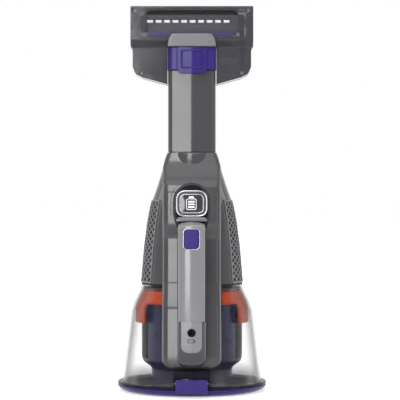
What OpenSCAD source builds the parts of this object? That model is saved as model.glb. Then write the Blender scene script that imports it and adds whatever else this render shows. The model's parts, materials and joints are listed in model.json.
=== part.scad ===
// Cordless hand vacuum with a motorised pet brush head, standing upright on its bowl lid.
// Z runs up along its length, the handle faces -Y, and the origin is the middle of the lid's flat underside.

/* [Lid and latch] */
// Radius of the lid and of the bowl flange
flange_r = 86.6; // [84:0.2:105]
// Radius of the lid's flat underside
lid_flat_r = 72; // [60:1:76]
// Height of the closed lid
lid_h = 8; // [7:0.5:12]
// Thickness of the lid's skin
lid_wall = 2.4; // [1.8:0.2:3.2]
// Radius of the lid's hinge pin
hinge_pin_r = 1.5; // [1.2:0.1:1.8]
// Width of the latch tab
latch_w = 35.8; // [24:0.2:44]
// Height of the latch tab
latch_h = 15.6; // [13:0.2:19]

/* [Dust bowl] */
// Radius of the bowl just above its flange
bowl_base_r = 81; // [79:0.5:83]
// Radius of the bowl below its shoulder
bowl_waist_r = 71; // [69:0.5:78]
// Height from the flange to the top of the bowl
bowl_h = 115.7; // [96:0.1:139]
// Wall of the clear bowl
bowl_wall = 2.4; // [1.8:0.2:3]
// Thickness of the bowl flange
flange_t = 3.2; // [2.4:0.2:4]

/* [Body shell] */
// Radius of the body at its lower edge
shell_r = 59; // [58:0.5:60]
// Height of the body from the bowl to the nozzle seam
shell_h = 152; // [150:1:183]
// Wall of the body shells
shell_wall = 2.4; // [2:0.1:3]
// Half width of the spine that runs down the front
spine_half = 33.5; // [32.5:0.5:34]
// Slots in one column of a side grille
grille_rows = 12; // [6:1:13]

/* [Nozzle] */
// Half width of the nozzle tube
nozzle_half = 27.6; // [27:0.2:28.4]
// Length of the nozzle tube between its seam and the brush head
nozzle_len = 95; // [79:1:114]
// Wall of the nozzle tube
nozzle_wall = 2.2; // [1.8:0.2:2.6]
// Length of the thin sleeve that the brush head pushes over
sleeve_len = 32; // [26:1:36]

/* [Handle] */
// Width of the handle grip
handle_w = 32; // [27:0.5:38]
// How far the front of the grip stands out from the centre line
handle_reach = 108; // [104:0.5:112]
// Thickness of the grip from front to back
handle_t = 21; // [18:0.5:23]
// Width of the power button
power_w = 16.6; // [12:0.2:20]
// Height of the power button
power_h = 21.4; // [16:0.2:25]
// How far the power button presses in
power_travel = 1.6; // [1:0.1:2]

/* [Motor and battery] */
// Radius of the fan
fan_r = 25; // [21:0.5:25.5]
// Number of fan blades
fan_blades = 9; // [5:1:13]
// Radius of the motor can
motor_r = 20; // [17:0.5:21]
// Height of the motor can
motor_h = 40; // [33:1:42]
// Radius of one battery cell
cell_r = 9.1; // [9:0.1:9.2]
// Length of one battery cell
cell_len = 65; // [65:0.5:65.5]

/* [Filter] */
// Radius of the filter shroud
shroud_r = 58; // [50:0.5:61]
// Height of the wide part of the filter shroud
shroud_h = 70; // [58:1:72]
// Number of pleats in the filter
pleats = 40; // [24:1:48]

/* [Brush head] */
// Half width of the brush head
head_half = 71; // [68:0.5:85]
// Height of the brush head's upper box
head_h = 47.5; // [46:0.5:50]
// Half width of the lower wings
wing_half = 68.7; // [66:0.1:83]
// Skin of the brush head
head_wall = 2.2; // [1.8:0.1:2.4]
// Radius of the brush core
brush_r = 8.5; // [7:0.5:9]
// Radius at the tips of the bristles
bristle_r = 13.5; // [12:0.5:14]
// Number of bristle tufts in one row
tufts = 10; // [6:1:10]
// Distance from tuft to tuft
tuft_pitch = 9.9; // [9:0.1:9.9]
// How far the release button presses in
release_travel = 2; // [1:0.1:2.2]

/* [Hidden] */

$fn = 96;
gap = 0.3;          // between pieces that move past each other
run_gap = 0.05;     // radial clearance of a shaft in its hole
eps = 0.01;

purple = "#443880";
purple_light = "#5a4c98";
smoke = "#55555a";
dark = "#4a4a4d";
silver = "#b9b9bb";
orange = "#c15831";

// Heights of the main seams, each one standing on the one below
flange_z0 = lid_h + gap;
flange_z1 = flange_z0 + flange_t;
bowl_z1 = flange_z0 + bowl_h;
bowl_neck_z = bowl_z1 - 7;
bowl_shoulder_z = bowl_z1 - 20;
bowl_waist_z = bowl_z1 - 32;
bowl_seal_t = 1;
shell_z0 = bowl_z1 + bowl_seal_t;
shell_z1 = shell_z0 + shell_h;
nozzle_z1 = shell_z1 + nozzle_len;
sleeve_z1 = nozzle_z1 + sleeve_len;
neck_z = shell_z1 - 30;        // where the body's dome becomes the neck
head_z0 = nozzle_z1 + 26.5;
head_z1 = head_z0 + head_h;
wing_z0 = nozzle_z1 - 16.5;
bowl_shoulder_r = bowl_waist_r - 4;

// ---------- shared shapes ----------

// A solid of revolution about Z from [radius, height] points
module turned(points) {
  rotate_extrude() polygon(points);
}

// Moves the points of a profile inwards by a distance
function inset(points, d) = [for (p = points) [p[0] - d, p[1]]];

// The closed outline between a profile and the Z axis
function filled(points) =
  concat([[0, points[0][1]]], points, [[0, points[len(points) - 1][1]]]);

// The closed outline of a wall that follows a profile
function walled(points, outer, inner) =
  concat(inset(points, -outer), [for (i = [len(points) - 1:-1:0]) [points[i][0] - inner, points[i][1]]]);

function reversed(list) = [for (i = [len(list) - 1:-1:0]) list[i]];

// A [y, z] outline pulled out across X, centred
module side_prism(points, width) {
  rotate([90, 0, 90])
    translate([0, 0, -width / 2])
      linear_extrude(width) polygon(points);
}

// An [x, z] shape pulled along Y between two planes
module front_prism(y0, y1) {
  translate([0, y1, 0])
    rotate([90, 0, 0])
      linear_extrude(y1 - y0) children();
}

module round_rect(w, h, r) {
  square([w - 2 * r, h], center = true);
  square([w, h - 2 * r], center = true);
  for (sx = [-1, 1], sy = [-1, 1])
    translate([sx * (w / 2 - r), sy * (h / 2 - r)]) circle(r = r, $fn = 32);
}

// The tube section of the nozzle: a half circle behind and a flat front with soft corners
module tube_section(half, front, corner = 5) {
  difference() {
    circle(r = half);
    translate([-2 * half, -2 * half - 6]) square([4 * half, 2 * half]);
  }
  translate([-half, -front + corner]) square([2 * half, front - corner]);
  translate([-half + corner, -front]) square([2 * (half - corner), corner + eps]);
  for (s = [-1, 1])
    translate([s * (half - corner), -front + corner]) circle(r = corner, $fn = 32);
}

module tube(half, front, wall, height, corner = 5) {
  linear_extrude(height) difference() {
    tube_section(half, front, corner);
    tube_section(half - wall, front - wall, corner - wall / 2);
  }
}

module y_cylinder(r, y0, y1) {
  translate([0, y1, 0]) rotate([90, 0, 0]) cylinder(r = r, h = y1 - y0);
}

module x_cylinder(r, x0, x1) {
  translate([x0, 0, 0]) rotate([0, 90, 0]) cylinder(r = r, h = x1 - x0);
}

module box(x0, x1, y0, y1, z0, z1) {
  translate([x0, y0, z0]) cube([x1 - x0, y1 - y0, z1 - z0]);
}

module mirrored() {
  children();
  mirror([1, 0, 0]) children();
}

// ---------- lid, hinge and latch ----------

hinge_y = flange_r + 4.4;
hinge_z = lid_h - 0.5;
knuckle_r = 3.6;
knuckle_half = 12;
knuckle_end = 24;

lid_edge = [for (t = [0:10:90])
  [lid_flat_r + (flange_r - lid_flat_r) * sin(t), lid_h * (1 - cos(t))]];
lid_rim = 2.4;
seal_ledge_z = lid_h - 2.4;

module lid_cover() color(purple) {
  difference() {
    turned(concat([[0, 0]], lid_edge, [
      [flange_r - lid_rim, lid_h],
      [flange_r - lid_rim, seal_ledge_z],
      [flange_r - lid_rim - 5.8, seal_ledge_z],
      [lid_flat_r + 1, lid_wall],
      [0, lid_wall]
    ]));
    // shallow keeper recess behind the latch tab
    box(-latch_w / 2 + 6, latch_w / 2 - 6, -flange_r - 1, -flange_r + 1.2, lid_h - 4, lid_h + 1);
  }
  difference() {
    for (s = [-1, 1]) {
      translate([0, hinge_y, hinge_z])
        x_cylinder(knuckle_r, s > 0 ? knuckle_half + gap : -knuckle_end, s > 0 ? knuckle_end : -knuckle_half - gap);
      box(s > 0 ? knuckle_half + gap : -knuckle_end, s > 0 ? knuckle_end : -knuckle_half - gap,
        flange_r - 4, hinge_y, hinge_z - knuckle_r, lid_h - gap);
    }
    translate([0, hinge_y, hinge_z]) x_cylinder(hinge_pin_r + run_gap, -knuckle_end - 1, knuckle_end + 1);
    // nothing of the hinge stands inside the seal ledge
    translate([0, 0, seal_ledge_z]) cylinder(r = flange_r - lid_rim, h = 9);
  }
  // stiffening ribs on the lid's inner face
  for (a = [0:60:300])
    rotate([0, 0, a]) box(16, lid_flat_r - 4, -0.8, 0.8, lid_wall - 0.4, lid_wall + 2.2);
  translate([0, 0, lid_wall - 0.4]) difference() {
    cylinder(r = 16.8, h = 2.6);
    translate([0, 0, -1]) cylinder(r = 15, h = 5);
  }
}

module lid_seal() color("#2a2a2c")
  turned([
    [flange_r - lid_rim - 5.6, seal_ledge_z],
    [flange_r - lid_rim - gap, seal_ledge_z],
    [flange_r - lid_rim - 0.8, lid_h],
    [flange_r - lid_rim - 4.6, lid_h]
  ]);

module hinge_pin() color("#c8c8cc")
  translate([0, hinge_y, hinge_z]) x_cylinder(hinge_pin_r, -knuckle_end - 1.2, knuckle_end + 1.2);

latch_y = -flange_r - 1.6;
latch_z = flange_z1 + 5;
latch_pin_r = 1.2;
latch_boss_r = 2.2;
latch_t = 2.5;
latch_top = latch_z + 4.3;
latch_ear = 2.4;

module lid_latch() color(purple_light)
  difference() {
    union() {
      box(-latch_w / 2, latch_w / 2, latch_y - 4.2, latch_y - 4.2 + latch_t, latch_top - latch_h, latch_top);
      translate([0, latch_y, latch_z]) x_cylinder(latch_boss_r, -latch_w / 2, latch_w / 2);
      box(-latch_w / 2, latch_w / 2, latch_y - 2, latch_y, latch_z - 1.2, latch_z + 1.2);
      for (s = [-1, 0, 1])
        box(s * 12 - 1, s * 12 + 1, latch_y - 4.2, latch_y - gap + 0.2, latch_top - latch_h + 1.2, latch_z);
    }
    translate([0, latch_y, latch_z]) x_cylinder(latch_pin_r + run_gap, -latch_w, latch_w);
    // the lid's rim and the flange stay clear behind the tab
    translate([0, 0, -1]) cylinder(r = flange_r + gap, h = flange_z1 + gap + 1);
  }

module latch_bracket() color(dark)
  difference() {
    union() {
      // plate above the tab
      box(-latch_w / 2 - latch_ear - gap, latch_w / 2 + latch_ear + gap,
        latch_y + 0.4, -bowl_waist_r, latch_top + 0.8, latch_top + 9.5);
      // ears that carry the pin and stand on the flange
      for (s = [-1, 1])
        translate([s * (latch_w / 2 + gap + latch_ear / 2), 0, 0])
          box(-latch_ear / 2, latch_ear / 2, latch_y - 2.2, -bowl_waist_r, flange_z1, latch_top + 9.5);
    }
    turned(filled(inset(bowl_profile, -0.1)));
    translate([0, latch_y, latch_z]) x_cylinder(latch_pin_r, -latch_w, latch_w);
    // the ears' front corners are cut back under the pin
    for (s = [-1, 1])
      box(s > 0 ? latch_w / 2 : -latch_w, s > 0 ? latch_w : -latch_w / 2,
        latch_y - 3, latch_y + 0.4, latch_top + 1.5, latch_top + 12);
  }

module latch_pin() color("#c8c8cc")
  translate([0, latch_y, latch_z])
    x_cylinder(latch_pin_r, -latch_w / 2 - latch_ear - gap, latch_w / 2 + latch_ear + gap);

// ---------- dust bowl ----------

bowl_profile = [
  [bowl_base_r, flange_z1],
  [bowl_waist_r, bowl_waist_z],
  [bowl_shoulder_r, bowl_shoulder_z],
  [shell_r + 1.5, bowl_neck_z],
  [shell_r, bowl_z1 - 3],
  [shell_r, bowl_z1]
];

module dust_bowl() color("#e8e8ee", 0.35) {
  turned(concat(
    [[bowl_base_r - bowl_wall, flange_z0], [flange_r, flange_z0], [flange_r, flange_z1]],
    bowl_profile,
    reversed(inset(bowl_profile, bowl_wall))
  ));
  difference() {
    union() {
      translate([0, hinge_y, hinge_z]) x_cylinder(knuckle_r, -knuckle_half, knuckle_half);
      box(-knuckle_half, knuckle_half, flange_r - 3, hinge_y, flange_z0, hinge_z + knuckle_r);
    }
    translate([0, hinge_y, hinge_z]) x_cylinder(hinge_pin_r, -knuckle_end, knuckle_end);
    translate([0, 0, flange_z0 - 20]) cylinder(r = flange_r, h = 20 + flange_t);
  }
}

module bowl_seal() color("#2a2a2c")
  translate([0, 0, bowl_z1]) difference() {
    cylinder(r = shell_r, h = bowl_seal_t);
    translate([0, 0, -1]) cylinder(r = shell_r - bowl_wall, h = 3);
  }

// ---------- filter, which twists out of its seat ----------

ring_top = bowl_z1 - 3;
ring_half = bowl_waist_r - 4.9;
tab_drop = 18;
tab_angle = 33;

module ring_outline(low, wall) {
  polygon([
    [shell_r - 2.4 - wall, ring_top], [shell_r - 2.6, ring_top], [shell_r - 1.9, ring_top - 3],
    [bowl_shoulder_r - 3.2, bowl_shoulder_z - 0.5], [ring_half, bowl_waist_z + 5], [ring_half, low],
    [ring_half - wall, low], [ring_half - wall, bowl_waist_z + 4],
    [bowl_shoulder_r - 3.2 - wall, bowl_shoulder_z - 1.5]
  ]);
}

module filter_ring() color(orange) {
  low = bowl_waist_z + 6;
  difference() {
    union() {
      rotate_extrude() ring_outline(low - tab_drop, 2.6);
      // shelf that carries the filter
      translate([0, 0, ring_top - 3]) difference() {
        cylinder(r = shell_r - 4, h = 3);
        translate([0, 0, -1]) cylinder(r = shroud_inner - 6, h = 5);
      }
      // collar between the shelf and the shroud
      translate([0, 0, shroud_z1]) difference() {
        cylinder(r = shroud_r - 2.5, h = ring_top - 2 - shroud_z1);
        translate([0, 0, -1]) cylinder(r = shroud_r - 5.6, h = ring_top);
      }
    }
    // only the finger tabs at the sides reach further down
    box(-ring_half * cos(tab_angle), ring_half * cos(tab_angle), -ring_half - 1, ring_half + 1,
      low - tab_drop - 1, low);
    // the dirty air comes in through a notch at the back
    translate([0, (shell_r + shroud_inner - 6) / 2 + 3, ring_top])
      cube([duct_w, shell_r - shroud_inner + 8, 8], center = true);
  }
}

shroud_inner = shroud_r - 2;
shroud_z0 = flange_z0 + 26;
shroud_z1 = shroud_z0 + shroud_h;
cup_r = 47;
cup_z0 = flange_z0 + 5;

module filter_shroud() color("#4b4468")
  turned([
    [0, cup_z0], [cup_r - 2, cup_z0], [cup_r, cup_z0 + 2],
    [cup_r, shroud_z0 - 9], [shroud_r, shroud_z0], [shroud_r, shroud_z1],
    [shroud_inner, shroud_z1], [shroud_inner, shroud_z0 + 1], [cup_r - 2, shroud_z0 - 8],
    [cup_r - 2, cup_z0 + 2], [0, cup_z0 + 2]
  ]);

pleat_r = shroud_inner - 4;
pleat_depth = 6;

module pleated_filter() color("#e6e3da")
  translate([0, 0, shroud_z0 + 3]) {
    linear_extrude(ring_top - 3 - shroud_z0 - 3) difference() {
      polygon([for (i = [0:2 * pleats - 1])
        let (r = i % 2 == 0 ? pleat_r : pleat_r - pleat_depth, a = 180 * i / pleats)
        [r * cos(a), r * sin(a)]]);
      circle(r = pleat_r - pleat_depth - 1.2);
    }
    // the closed end of the cartridge stands on the shroud's step
    translate([0, 0, -2]) cylinder(r = pleat_r + 3, h = 2);
  }

module filter_seal() color("#2a2a2c")
  translate([0, 0, ring_top]) difference() {
    cylinder(r = 30, h = shell_z0 + 1 - ring_top - gap);
    translate([0, 0, -1]) cylinder(r = 24, h = 10);
    translate([0, duct_y0 - gap, -1]) translate([-40, 0, 0]) cube([80, 40, 12]);
  }

// ---------- body shells ----------

// [radius, height] up the body, from the bowl to the nozzle seam
shell_profile = [
  [shell_r, shell_z0],
  [shell_r - 3.4, shell_z0 + 41],
  [shell_r - 7.2, neck_z - 52],
  [shell_r - 11.4, neck_z - 30],
  [shell_r - 14.5, neck_z - 20],
  [shell_r - 18, neck_z - 11],
  [nozzle_half + 8.8, neck_z - 4],
  [nozzle_half + 6.9, neck_z],
  [nozzle_half + 5.2, neck_z + 15],
  [nozzle_half + 4, neck_z + 21.8],
  [nozzle_half + 0.6, shell_z1]
];

nozzle_front = 24;
recess_z0 = neck_z - 61.5;
recess_z1 = neck_z - 2.5;
recess_half = 23.8;
recess_depth = 4;
face_y = -61;        // front of the spine around the display
spine_z0 = flange_z0 + 23;
spine_foot_y = -bowl_base_r - 4;

// Front line of the spine as [y, z], from the nozzle down to the foot
spine_front = [
  [-nozzle_front, shell_z1],
  [-nozzle_front - 8, shell_z1 - 13],
  [-nozzle_front - 20, neck_z + 4],
  [face_y + 4, neck_z - 8],
  [face_y, neck_z - 18],
  [face_y, recess_z0 + 6],
  [face_y + 5, recess_z0 - 6],
  [-shell_r - 4.5, shell_z0 + 3],
  [-bowl_shoulder_r - 6, bowl_shoulder_z + 8],
  [-bowl_waist_r - 8, bowl_waist_z + 6],
  [-bowl_waist_r - 12, bowl_waist_z - 22],
  [spine_foot_y, bowl_waist_z - 47],
  [spine_foot_y, spine_z0]
];

// Side outline of the spine, moved back by a wall
function spine_outline(d) = concat(
  [for (p = spine_front) [p[0] + d, p[1] + (p[1] == spine_z0 ? d : 0)]],
  [[-20, spine_z0 + d], [-20, shell_z0], [0, shell_z0 + 1], [0, shell_z1]]
);

// Front outline: the neck widens into the spine, which ends in round corners
module spine_face(d) {
  half = spine_half - d;
  corner = 12;
  neck = [for (p = shell_profile) if (p[1] >= neck_z) [p[0] - d, p[1]]];
  polygon(concat(
    [[half, spine_z0 + corner], [half, neck_z - 8]],
    neck,
    reversed([for (p = neck) [-p[0], p[1]]]),
    [[-half, neck_z - 8], [-half, spine_z0 + corner]]
  ));
  translate([-half, spine_z0 + corner]) square([2 * half, 10]);
  translate([-half + corner, spine_z0 + d]) square([2 * (half - corner), corner + 10]);
  for (s = [-1, 1])
    translate([s * (half - corner), spine_z0 + corner + d]) circle(r = corner);
}

module spine_body(d) {
  intersection() {
    side_prism(spine_outline(d), 4 * spine_half);
    front_prism(-120, 0.5) spine_face(d);
  }
}

// The whole body, moved inwards by a wall
module body_volume(d) {
  turned(filled([for (p = shell_profile) [p[0] - d, p[1]]]));
  spine_body(d);
}

module recess_shape(grow) {
  r = recess_half + grow;
  translate([0, recess_z1 - recess_half]) circle(r = r);
  polygon([
    [-r, recess_z1 - recess_half], [r, recess_z1 - recess_half], [r, recess_z0 + 20],
    [r - 5, recess_z0 - grow], [-r + 5, recess_z0 - grow], [-r, recess_z0 + 20]
  ]);
}

// Sector of a ring that follows the body, from below to above its own surface
module grille_sector(a0, a1, z0, z1, proud, deep) {
  mids = [for (p = shell_profile) if (p[1] > z0 + 4 && p[1] < z1 - 4) p];
  pts = concat([[profile_r(z0), z0]], mids, [[profile_r(z1), z1]]);
  rotate([0, 0, a0]) rotate_extrude(angle = a1 - a0) polygon(walled(pts, proud, deep));
}

// Radius of the body at a height
function profile_r(z) = lookup(z, [for (p = shell_profile) [p[1], p[0]]]);

grille_a0 = -38;
grille_a1 = 22;
grille_z0 = shell_z0 + 1.5;
grille_z1 = neck_z - 25;
grille_deep = 1.2;

module grille_cuts() {
  mirrored() {
    grille_sector(grille_a0 - 0.1, grille_a1 + 0.1, grille_z0 - 0.1, grille_z1 + 0.1, 3, grille_deep + 0.1);
    grille_sector(grille_a0 + 5, grille_a1 - 5, grille_z0 + 12, grille_z1 - 9, 3, 4);
  }
}

screw_spots = [[nozzle_half + 5.4, neck_z - 15], [shell_r - 10, shell_z0 + 8]];
boss_r = 3.8;
screw_r = 1.5;
screw_head_r = 2.9;

function surface_y(x, z) = sqrt(pow(profile_r(z), 2) - pow(x, 2));

module at_screws() {
  for (p = screw_spots, s = [-1, 1])
    translate([s * p[0], 0, p[1]]) children();
}

module front_shell() color(dark)
  difference() {
    union() {
      difference() {
        body_volume(0);
        body_volume(shell_wall);
        translate([0, 0, shell_z1 - 4]) linear_extrude(10)
          tube_section(nozzle_half - nozzle_wall, nozzle_front - nozzle_wall, 4);
        translate([0, 0, shell_z0 - 4]) cylinder(r = shell_r - shell_wall, h = 8);
      }
      // floor of the display recess
      front_prism(face_y, face_y + recess_depth + 2) recess_shape(2);
      // screw bosses
      intersection() {
        body_volume(0.5);
        at_screws() y_cylinder(boss_r, -22, 0);
      }
    }
    translate([-200, 0, 0]) cube([400, 200, 600]);
    front_prism(face_y - 9, face_y + recess_depth) recess_shape(0);
    turned(filled(inset(bowl_profile, -0.1)));
    translate([0, 0, flange_z0 - 1]) cylinder(r = shell_r, h = shell_z0 - flange_z0 + 1);
    grille_cuts();
    at_screws() y_cylinder(screw_r, -18, 1);
  }

module rear_shell() color("#515154")
  difference() {
    union() {
      difference() {
        turned(filled(shell_profile));
        turned(filled([for (p = shell_profile) [p[0] - shell_wall, p[1]]]));
        translate([0, 0, shell_z1 - 4]) linear_extrude(10)
          tube_section(nozzle_half - nozzle_wall, nozzle_front - nozzle_wall, 4);
        translate([0, 0, shell_z0 - 4]) cylinder(r = shell_r - shell_wall, h = 8);
      }
      intersection() {
        turned(filled([for (p = shell_profile) [p[0] - 0.4, p[1]]]));
        at_screws() y_cylinder(boss_r, 0, 60);
      }
    }
    translate([-200, -200, 0]) cube([400, 200, 600]);
    grille_cuts();
    for (p = screw_spots, s = [-1, 1])
      translate([s * p[0], 0, p[1]]) {
        y_cylinder(screw_r, -1, 60);
        y_cylinder(screw_head_r + 0.2, surface_y(p[0], p[1]) - 5, 70);
      }
  }

module shell_screws() color("#3a3a3c")
  for (p = screw_spots, s = [-1, 1])
    translate([s * p[0], 0, p[1]]) difference() {
      union() {
        y_cylinder(screw_r, -16, surface_y(p[0], p[1]) - 5);
        y_cylinder(screw_head_r, surface_y(p[0], p[1]) - 5, surface_y(p[0], p[1]) - 3);
      }
      box(-2, 2, surface_y(p[0], p[1]) - 3.8, surface_y(p[0], p[1]), -0.4, 0.4);
      box(-0.4, 0.4, surface_y(p[0], p[1]) - 3.8, surface_y(p[0], p[1]), -2, 2);
    }

grille_column = [-28, -8, 12];
slot_w = 1.8;
slot_l = 13;

module side_grille() color("#7c7c80")
  difference() {
    grille_sector(grille_a0, grille_a1, grille_z0, grille_z1, 1, grille_deep);
    for (i = [0:grille_rows - 1], a = grille_column)
      rotate([0, 0, a])
        translate([shell_r - 6, 0, grille_z0 + 15 + i * (grille_z1 - grille_z0 - 26) / grille_rows])
          rotate([35, 0, 0]) cube([30, slot_l, slot_w], center = true);
  }

module side_grille_right() side_grille();

module side_grille_left() mirror([1, 0, 0]) side_grille();

// ---------- nozzle and air path ----------

sleeve_half = 23.6;
sleeve_front = 20.4;

module nozzle_tube() color("#7e7e80") {
  translate([0, 0, shell_z1]) tube(nozzle_half, nozzle_front, nozzle_wall, nozzle_len);
  // step down to the thin sleeve at both ends
  for (z = [shell_z1, nozzle_z1 - 2])
    translate([0, 0, z]) linear_extrude(2) difference() {
      tube_section(nozzle_half - 1, nozzle_front - 1);
      tube_section(sleeve_half - nozzle_wall, sleeve_front - nozzle_wall, 4);
    }
  translate([0, 0, nozzle_z1 - 1]) tube(sleeve_half, sleeve_front, nozzle_wall, sleeve_len + 1);
  translate([0, 0, shell_z1 - 12]) tube(sleeve_half, sleeve_front, nozzle_wall, 13);
}

module contact_pad(z0, z1) {
  for (s = [-1, 1])
    box(s * 12 - 2, s * 12 + 2, -sleeve_front + 0.3, -sleeve_front + nozzle_wall - 0.3, z0, z1);
}

module nozzle_contacts() color("#c9a44a") contact_pad(sleeve_z1, sleeve_z1 + 1);

duct_half = 16;
duct_w = 2 * duct_half;
duct_y0 = 28;
duct_y1 = 47;
duct_wall = 1.8;
duct_z0 = shell_z0 + 3.5;
duct_turn_z = shell_z0 + 50;
duct_bend_z = neck_z - 32;
duct_top_z = shell_z1 - 13.5;

module duct_slab(z, y0, y1, half, d) {
  translate([0, 0, z]) box(-half + d, half - d, y0 + d, y1 - d, 0, 0.2);
}

// The duct as one solid, moved inwards by a wall
module duct_volume(d) {
  box(-duct_half + d, duct_half - d, duct_y0 + d, duct_y1 - d, duct_z0 - d, duct_turn_z);
  hull() {
    duct_slab(duct_turn_z - 0.2, duct_y0, duct_y1, duct_half, d);
    duct_slab(duct_bend_z, duct_y0 - 12, duct_y1 - 11, duct_half, d);
  }
  hull() {
    duct_slab(duct_bend_z, duct_y0 - 12, duct_y1 - 11, duct_half, d);
    translate([0, 0, duct_top_z - 0.2 + d]) linear_extrude(0.2)
      tube_section(sleeve_half - d, sleeve_front - d, 5 - d, $fn = 32);
  }
}

module inlet_duct() color("#3f3f43")
  difference() {
    duct_volume(0);
    duct_volume(duct_wall);
  }

bulkhead_z = shell_z0 + 1;
bulkhead_t = 2.5;
fan_y = -5;

module bulkhead() color("#39393c")
  translate([0, 0, bulkhead_z]) difference() {
    cylinder(r = profile_r(bulkhead_z + bulkhead_t) - shell_wall - 0.1, h = bulkhead_t);
    translate([0, fan_y, -1]) cylinder(r = 14, h = 6);
    box(-duct_half + duct_wall, duct_half - duct_wall, duct_y0 + duct_wall, duct_y1 - duct_wall, -1, 6);
  }

// ---------- fan and motor ----------

fan_case_r = fan_r + 4;
fan_z0 = bulkhead_z + bulkhead_t + 0.2;
fan_case_h = 18.3;
impeller_z = fan_z0 + 3.3;
impeller_h = 11;
motor_z = fan_z0 + fan_case_h;
shaft_r = 1.5;

module fan_housing() color("#58585c")
  translate([0, fan_y, fan_z0]) difference() {
    cylinder(r = fan_case_r, h = fan_case_h);
    translate([0, 0, 2]) cylinder(r = fan_case_r - 2, h = fan_case_h - 4);
    translate([0, 0, -1]) cylinder(r = 14, h = 4);
    translate([0, 0, fan_case_h - 3]) cylinder(r = shaft_r + 2, h = 5);
    // outlets around the side
    for (a = [0:45:315])
      rotate([0, 0, a + 22.5]) translate([fan_case_r, 0, fan_case_h / 2]) cube([10, 12, 8], center = true);
  }

module impeller() color("#d8d8da")
  translate([0, fan_y, impeller_z]) {
    cylinder(r = 6, h = impeller_h);
    translate([0, 0, impeller_h - 1.5]) cylinder(r = fan_r, h = 1.5);
    for (i = [0:fan_blades - 1])
      rotate([0, 0, i * 360 / fan_blades])
        translate([5, -0.6, 2]) rotate([0, 0, 18]) cube([fan_r - 8, 1.2, impeller_h - 3]);
    // shaft up through the motor
    translate([0, 0, impeller_h - 1]) cylinder(r = shaft_r, h = motor_z + motor_h + 3 - impeller_z - impeller_h + 1);
  }

module motor_can() color("#b8bcc2")
  translate([0, fan_y, motor_z]) difference() {
    union() {
      cylinder(r = motor_r, h = motor_h);
      translate([0, 0, motor_h - eps]) cylinder(r = 6, h = 2);
    }
    translate([0, 0, -1]) cylinder(r = shaft_r + run_gap, h = motor_h + 5);
    // cooling windows
    for (a = [0:60:300])
      rotate([0, 0, a]) translate([motor_r, 0, 6]) cube([4, 8, 5], center = true);
  }

module motor_damper() color("#2a2a2c")
  translate([0, fan_y, motor_z + motor_h - 12]) difference() {
    cylinder(r = motor_r + 2.6, h = 7);
    translate([0, 0, -1]) cylinder(r = motor_r + run_gap, h = 10);
  }

// ---------- battery and electronics ----------

cell_y = -43.5;
cell_gap = 19;
cell_z0 = bulkhead_z + bulkhead_t + 0.6;
holder_z = cell_z0 + cell_len + 0.2;
holder_t = 2;
top_cell_z = holder_z + holder_t + cell_r + 0.1;
board_z = top_cell_z + cell_r + 4;
top_cell_y = [-19.9, -1.2];

module battery_cells() color("#3f7fb0") {
  for (x = [-cell_gap, 0, cell_gap])
    translate([x, cell_y, cell_z0]) cylinder(r = cell_r, h = cell_len);
  for (y = top_cell_y)
    translate([0, y, top_cell_z]) x_cylinder(cell_r, -cell_len / 2, cell_len / 2);
}

module battery_holder() color("#28282a") {
  box(-spine_half + shell_wall + 0.2, spine_half - shell_wall - 0.2, -53, 14, holder_z, holder_z + holder_t);
  box(-cell_len / 2 - 3.5, cell_len / 2 + 3.5, -27, 14, holder_z, holder_z + holder_t);
  // posts that carry the main board
  for (x = [-22, 22], y = [-35, 11])
    translate([x, y, holder_z]) cylinder(r = 2, h = board_z - holder_z, $fn = 24);
  // stops at the cells' ends
  for (s = [-1, 1])
    box(s * (cell_len / 2 + 1.2) - 1, s * (cell_len / 2 + 1.2) + 1, -26, 4, holder_z + 1, holder_z + 10);
}

module main_board() color("#2f6b45") {
  difference() {
    box(-26, 26, -40, 13, board_z, board_z + 1.6);
    // clears the inlet duct
    box(-duct_half - 1.5, duct_half + 1.5, 7, 20, board_z - 1, board_z + 3);
  }
  // parts on the board
  box(-20, -6, -32, -18, board_z + 1.6 - eps, board_z + 4);
  box(2, 10, -30, -22, board_z + 1.6 - eps, board_z + 6);
  for (x = [-14, -4, 6])
    translate([x, -6, board_z + 1.6 - eps]) cylinder(r = 3, h = 7);
  box(12, 22, -12, -2, board_z + 1.6 - eps, board_z + 3);
}

// ---------- display ----------

display_z0 = neck_z - 44.5;
display_w = 36;
display_h = 30.6;
display_mid = display_z0 + display_h / 2;
floor_y = face_y + recess_depth;

module display_shape(grow) {
  translate([0, display_mid]) round_rect(display_w + 2 * grow, display_h + 2 * grow, 11 + grow);
}

module display_bezel() color("#c6c6ca")
  difference() {
    front_prism(face_y - 3.4, floor_y) display_shape(0);
    front_prism(face_y - 9, face_y - 1.4) display_shape(-5);
  }

module display_lens() color("#26262a")
  front_prism(face_y - 2.8, face_y - 1.4) display_shape(-5.2);

module display_board() color("#2f6b45") {
  box(-15, 15, floor_y + 2.1, floor_y + 3.5, display_z0, display_z0 + display_h);
  for (z = [8, 15, 22])
    box(-4, 4, floor_y + 3.5 - eps, floor_y + 4.7, display_z0 + z - 1, display_z0 + z + 1);
}

bar_z0 = display_z0 - 5;
bar_z1 = display_z0 - 0.2;

module crossbar() color(silver) {
  box(-handle_w / 2, handle_w / 2, face_y - 8, floor_y, bar_z0, bar_z1);
  // small round ears at its ends
  for (s = [-1, 1])
    translate([s * (handle_w / 2 + 0.4), 0, bar_z0 + 1.6]) y_cylinder(1.6, face_y - 5, floor_y);
}

// ---------- handle ----------

grip_top = bar_z0 - 0.2;
grip_z0 = shell_z0 - 38;
grip_mid = -handle_reach + handle_t / 2;
grip_half = handle_w / 2 - 1;   // the outer half is a little narrower than the inner one
grip_back = -handle_reach + handle_t;
root_t = 11;
root_y = floor_y;

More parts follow.
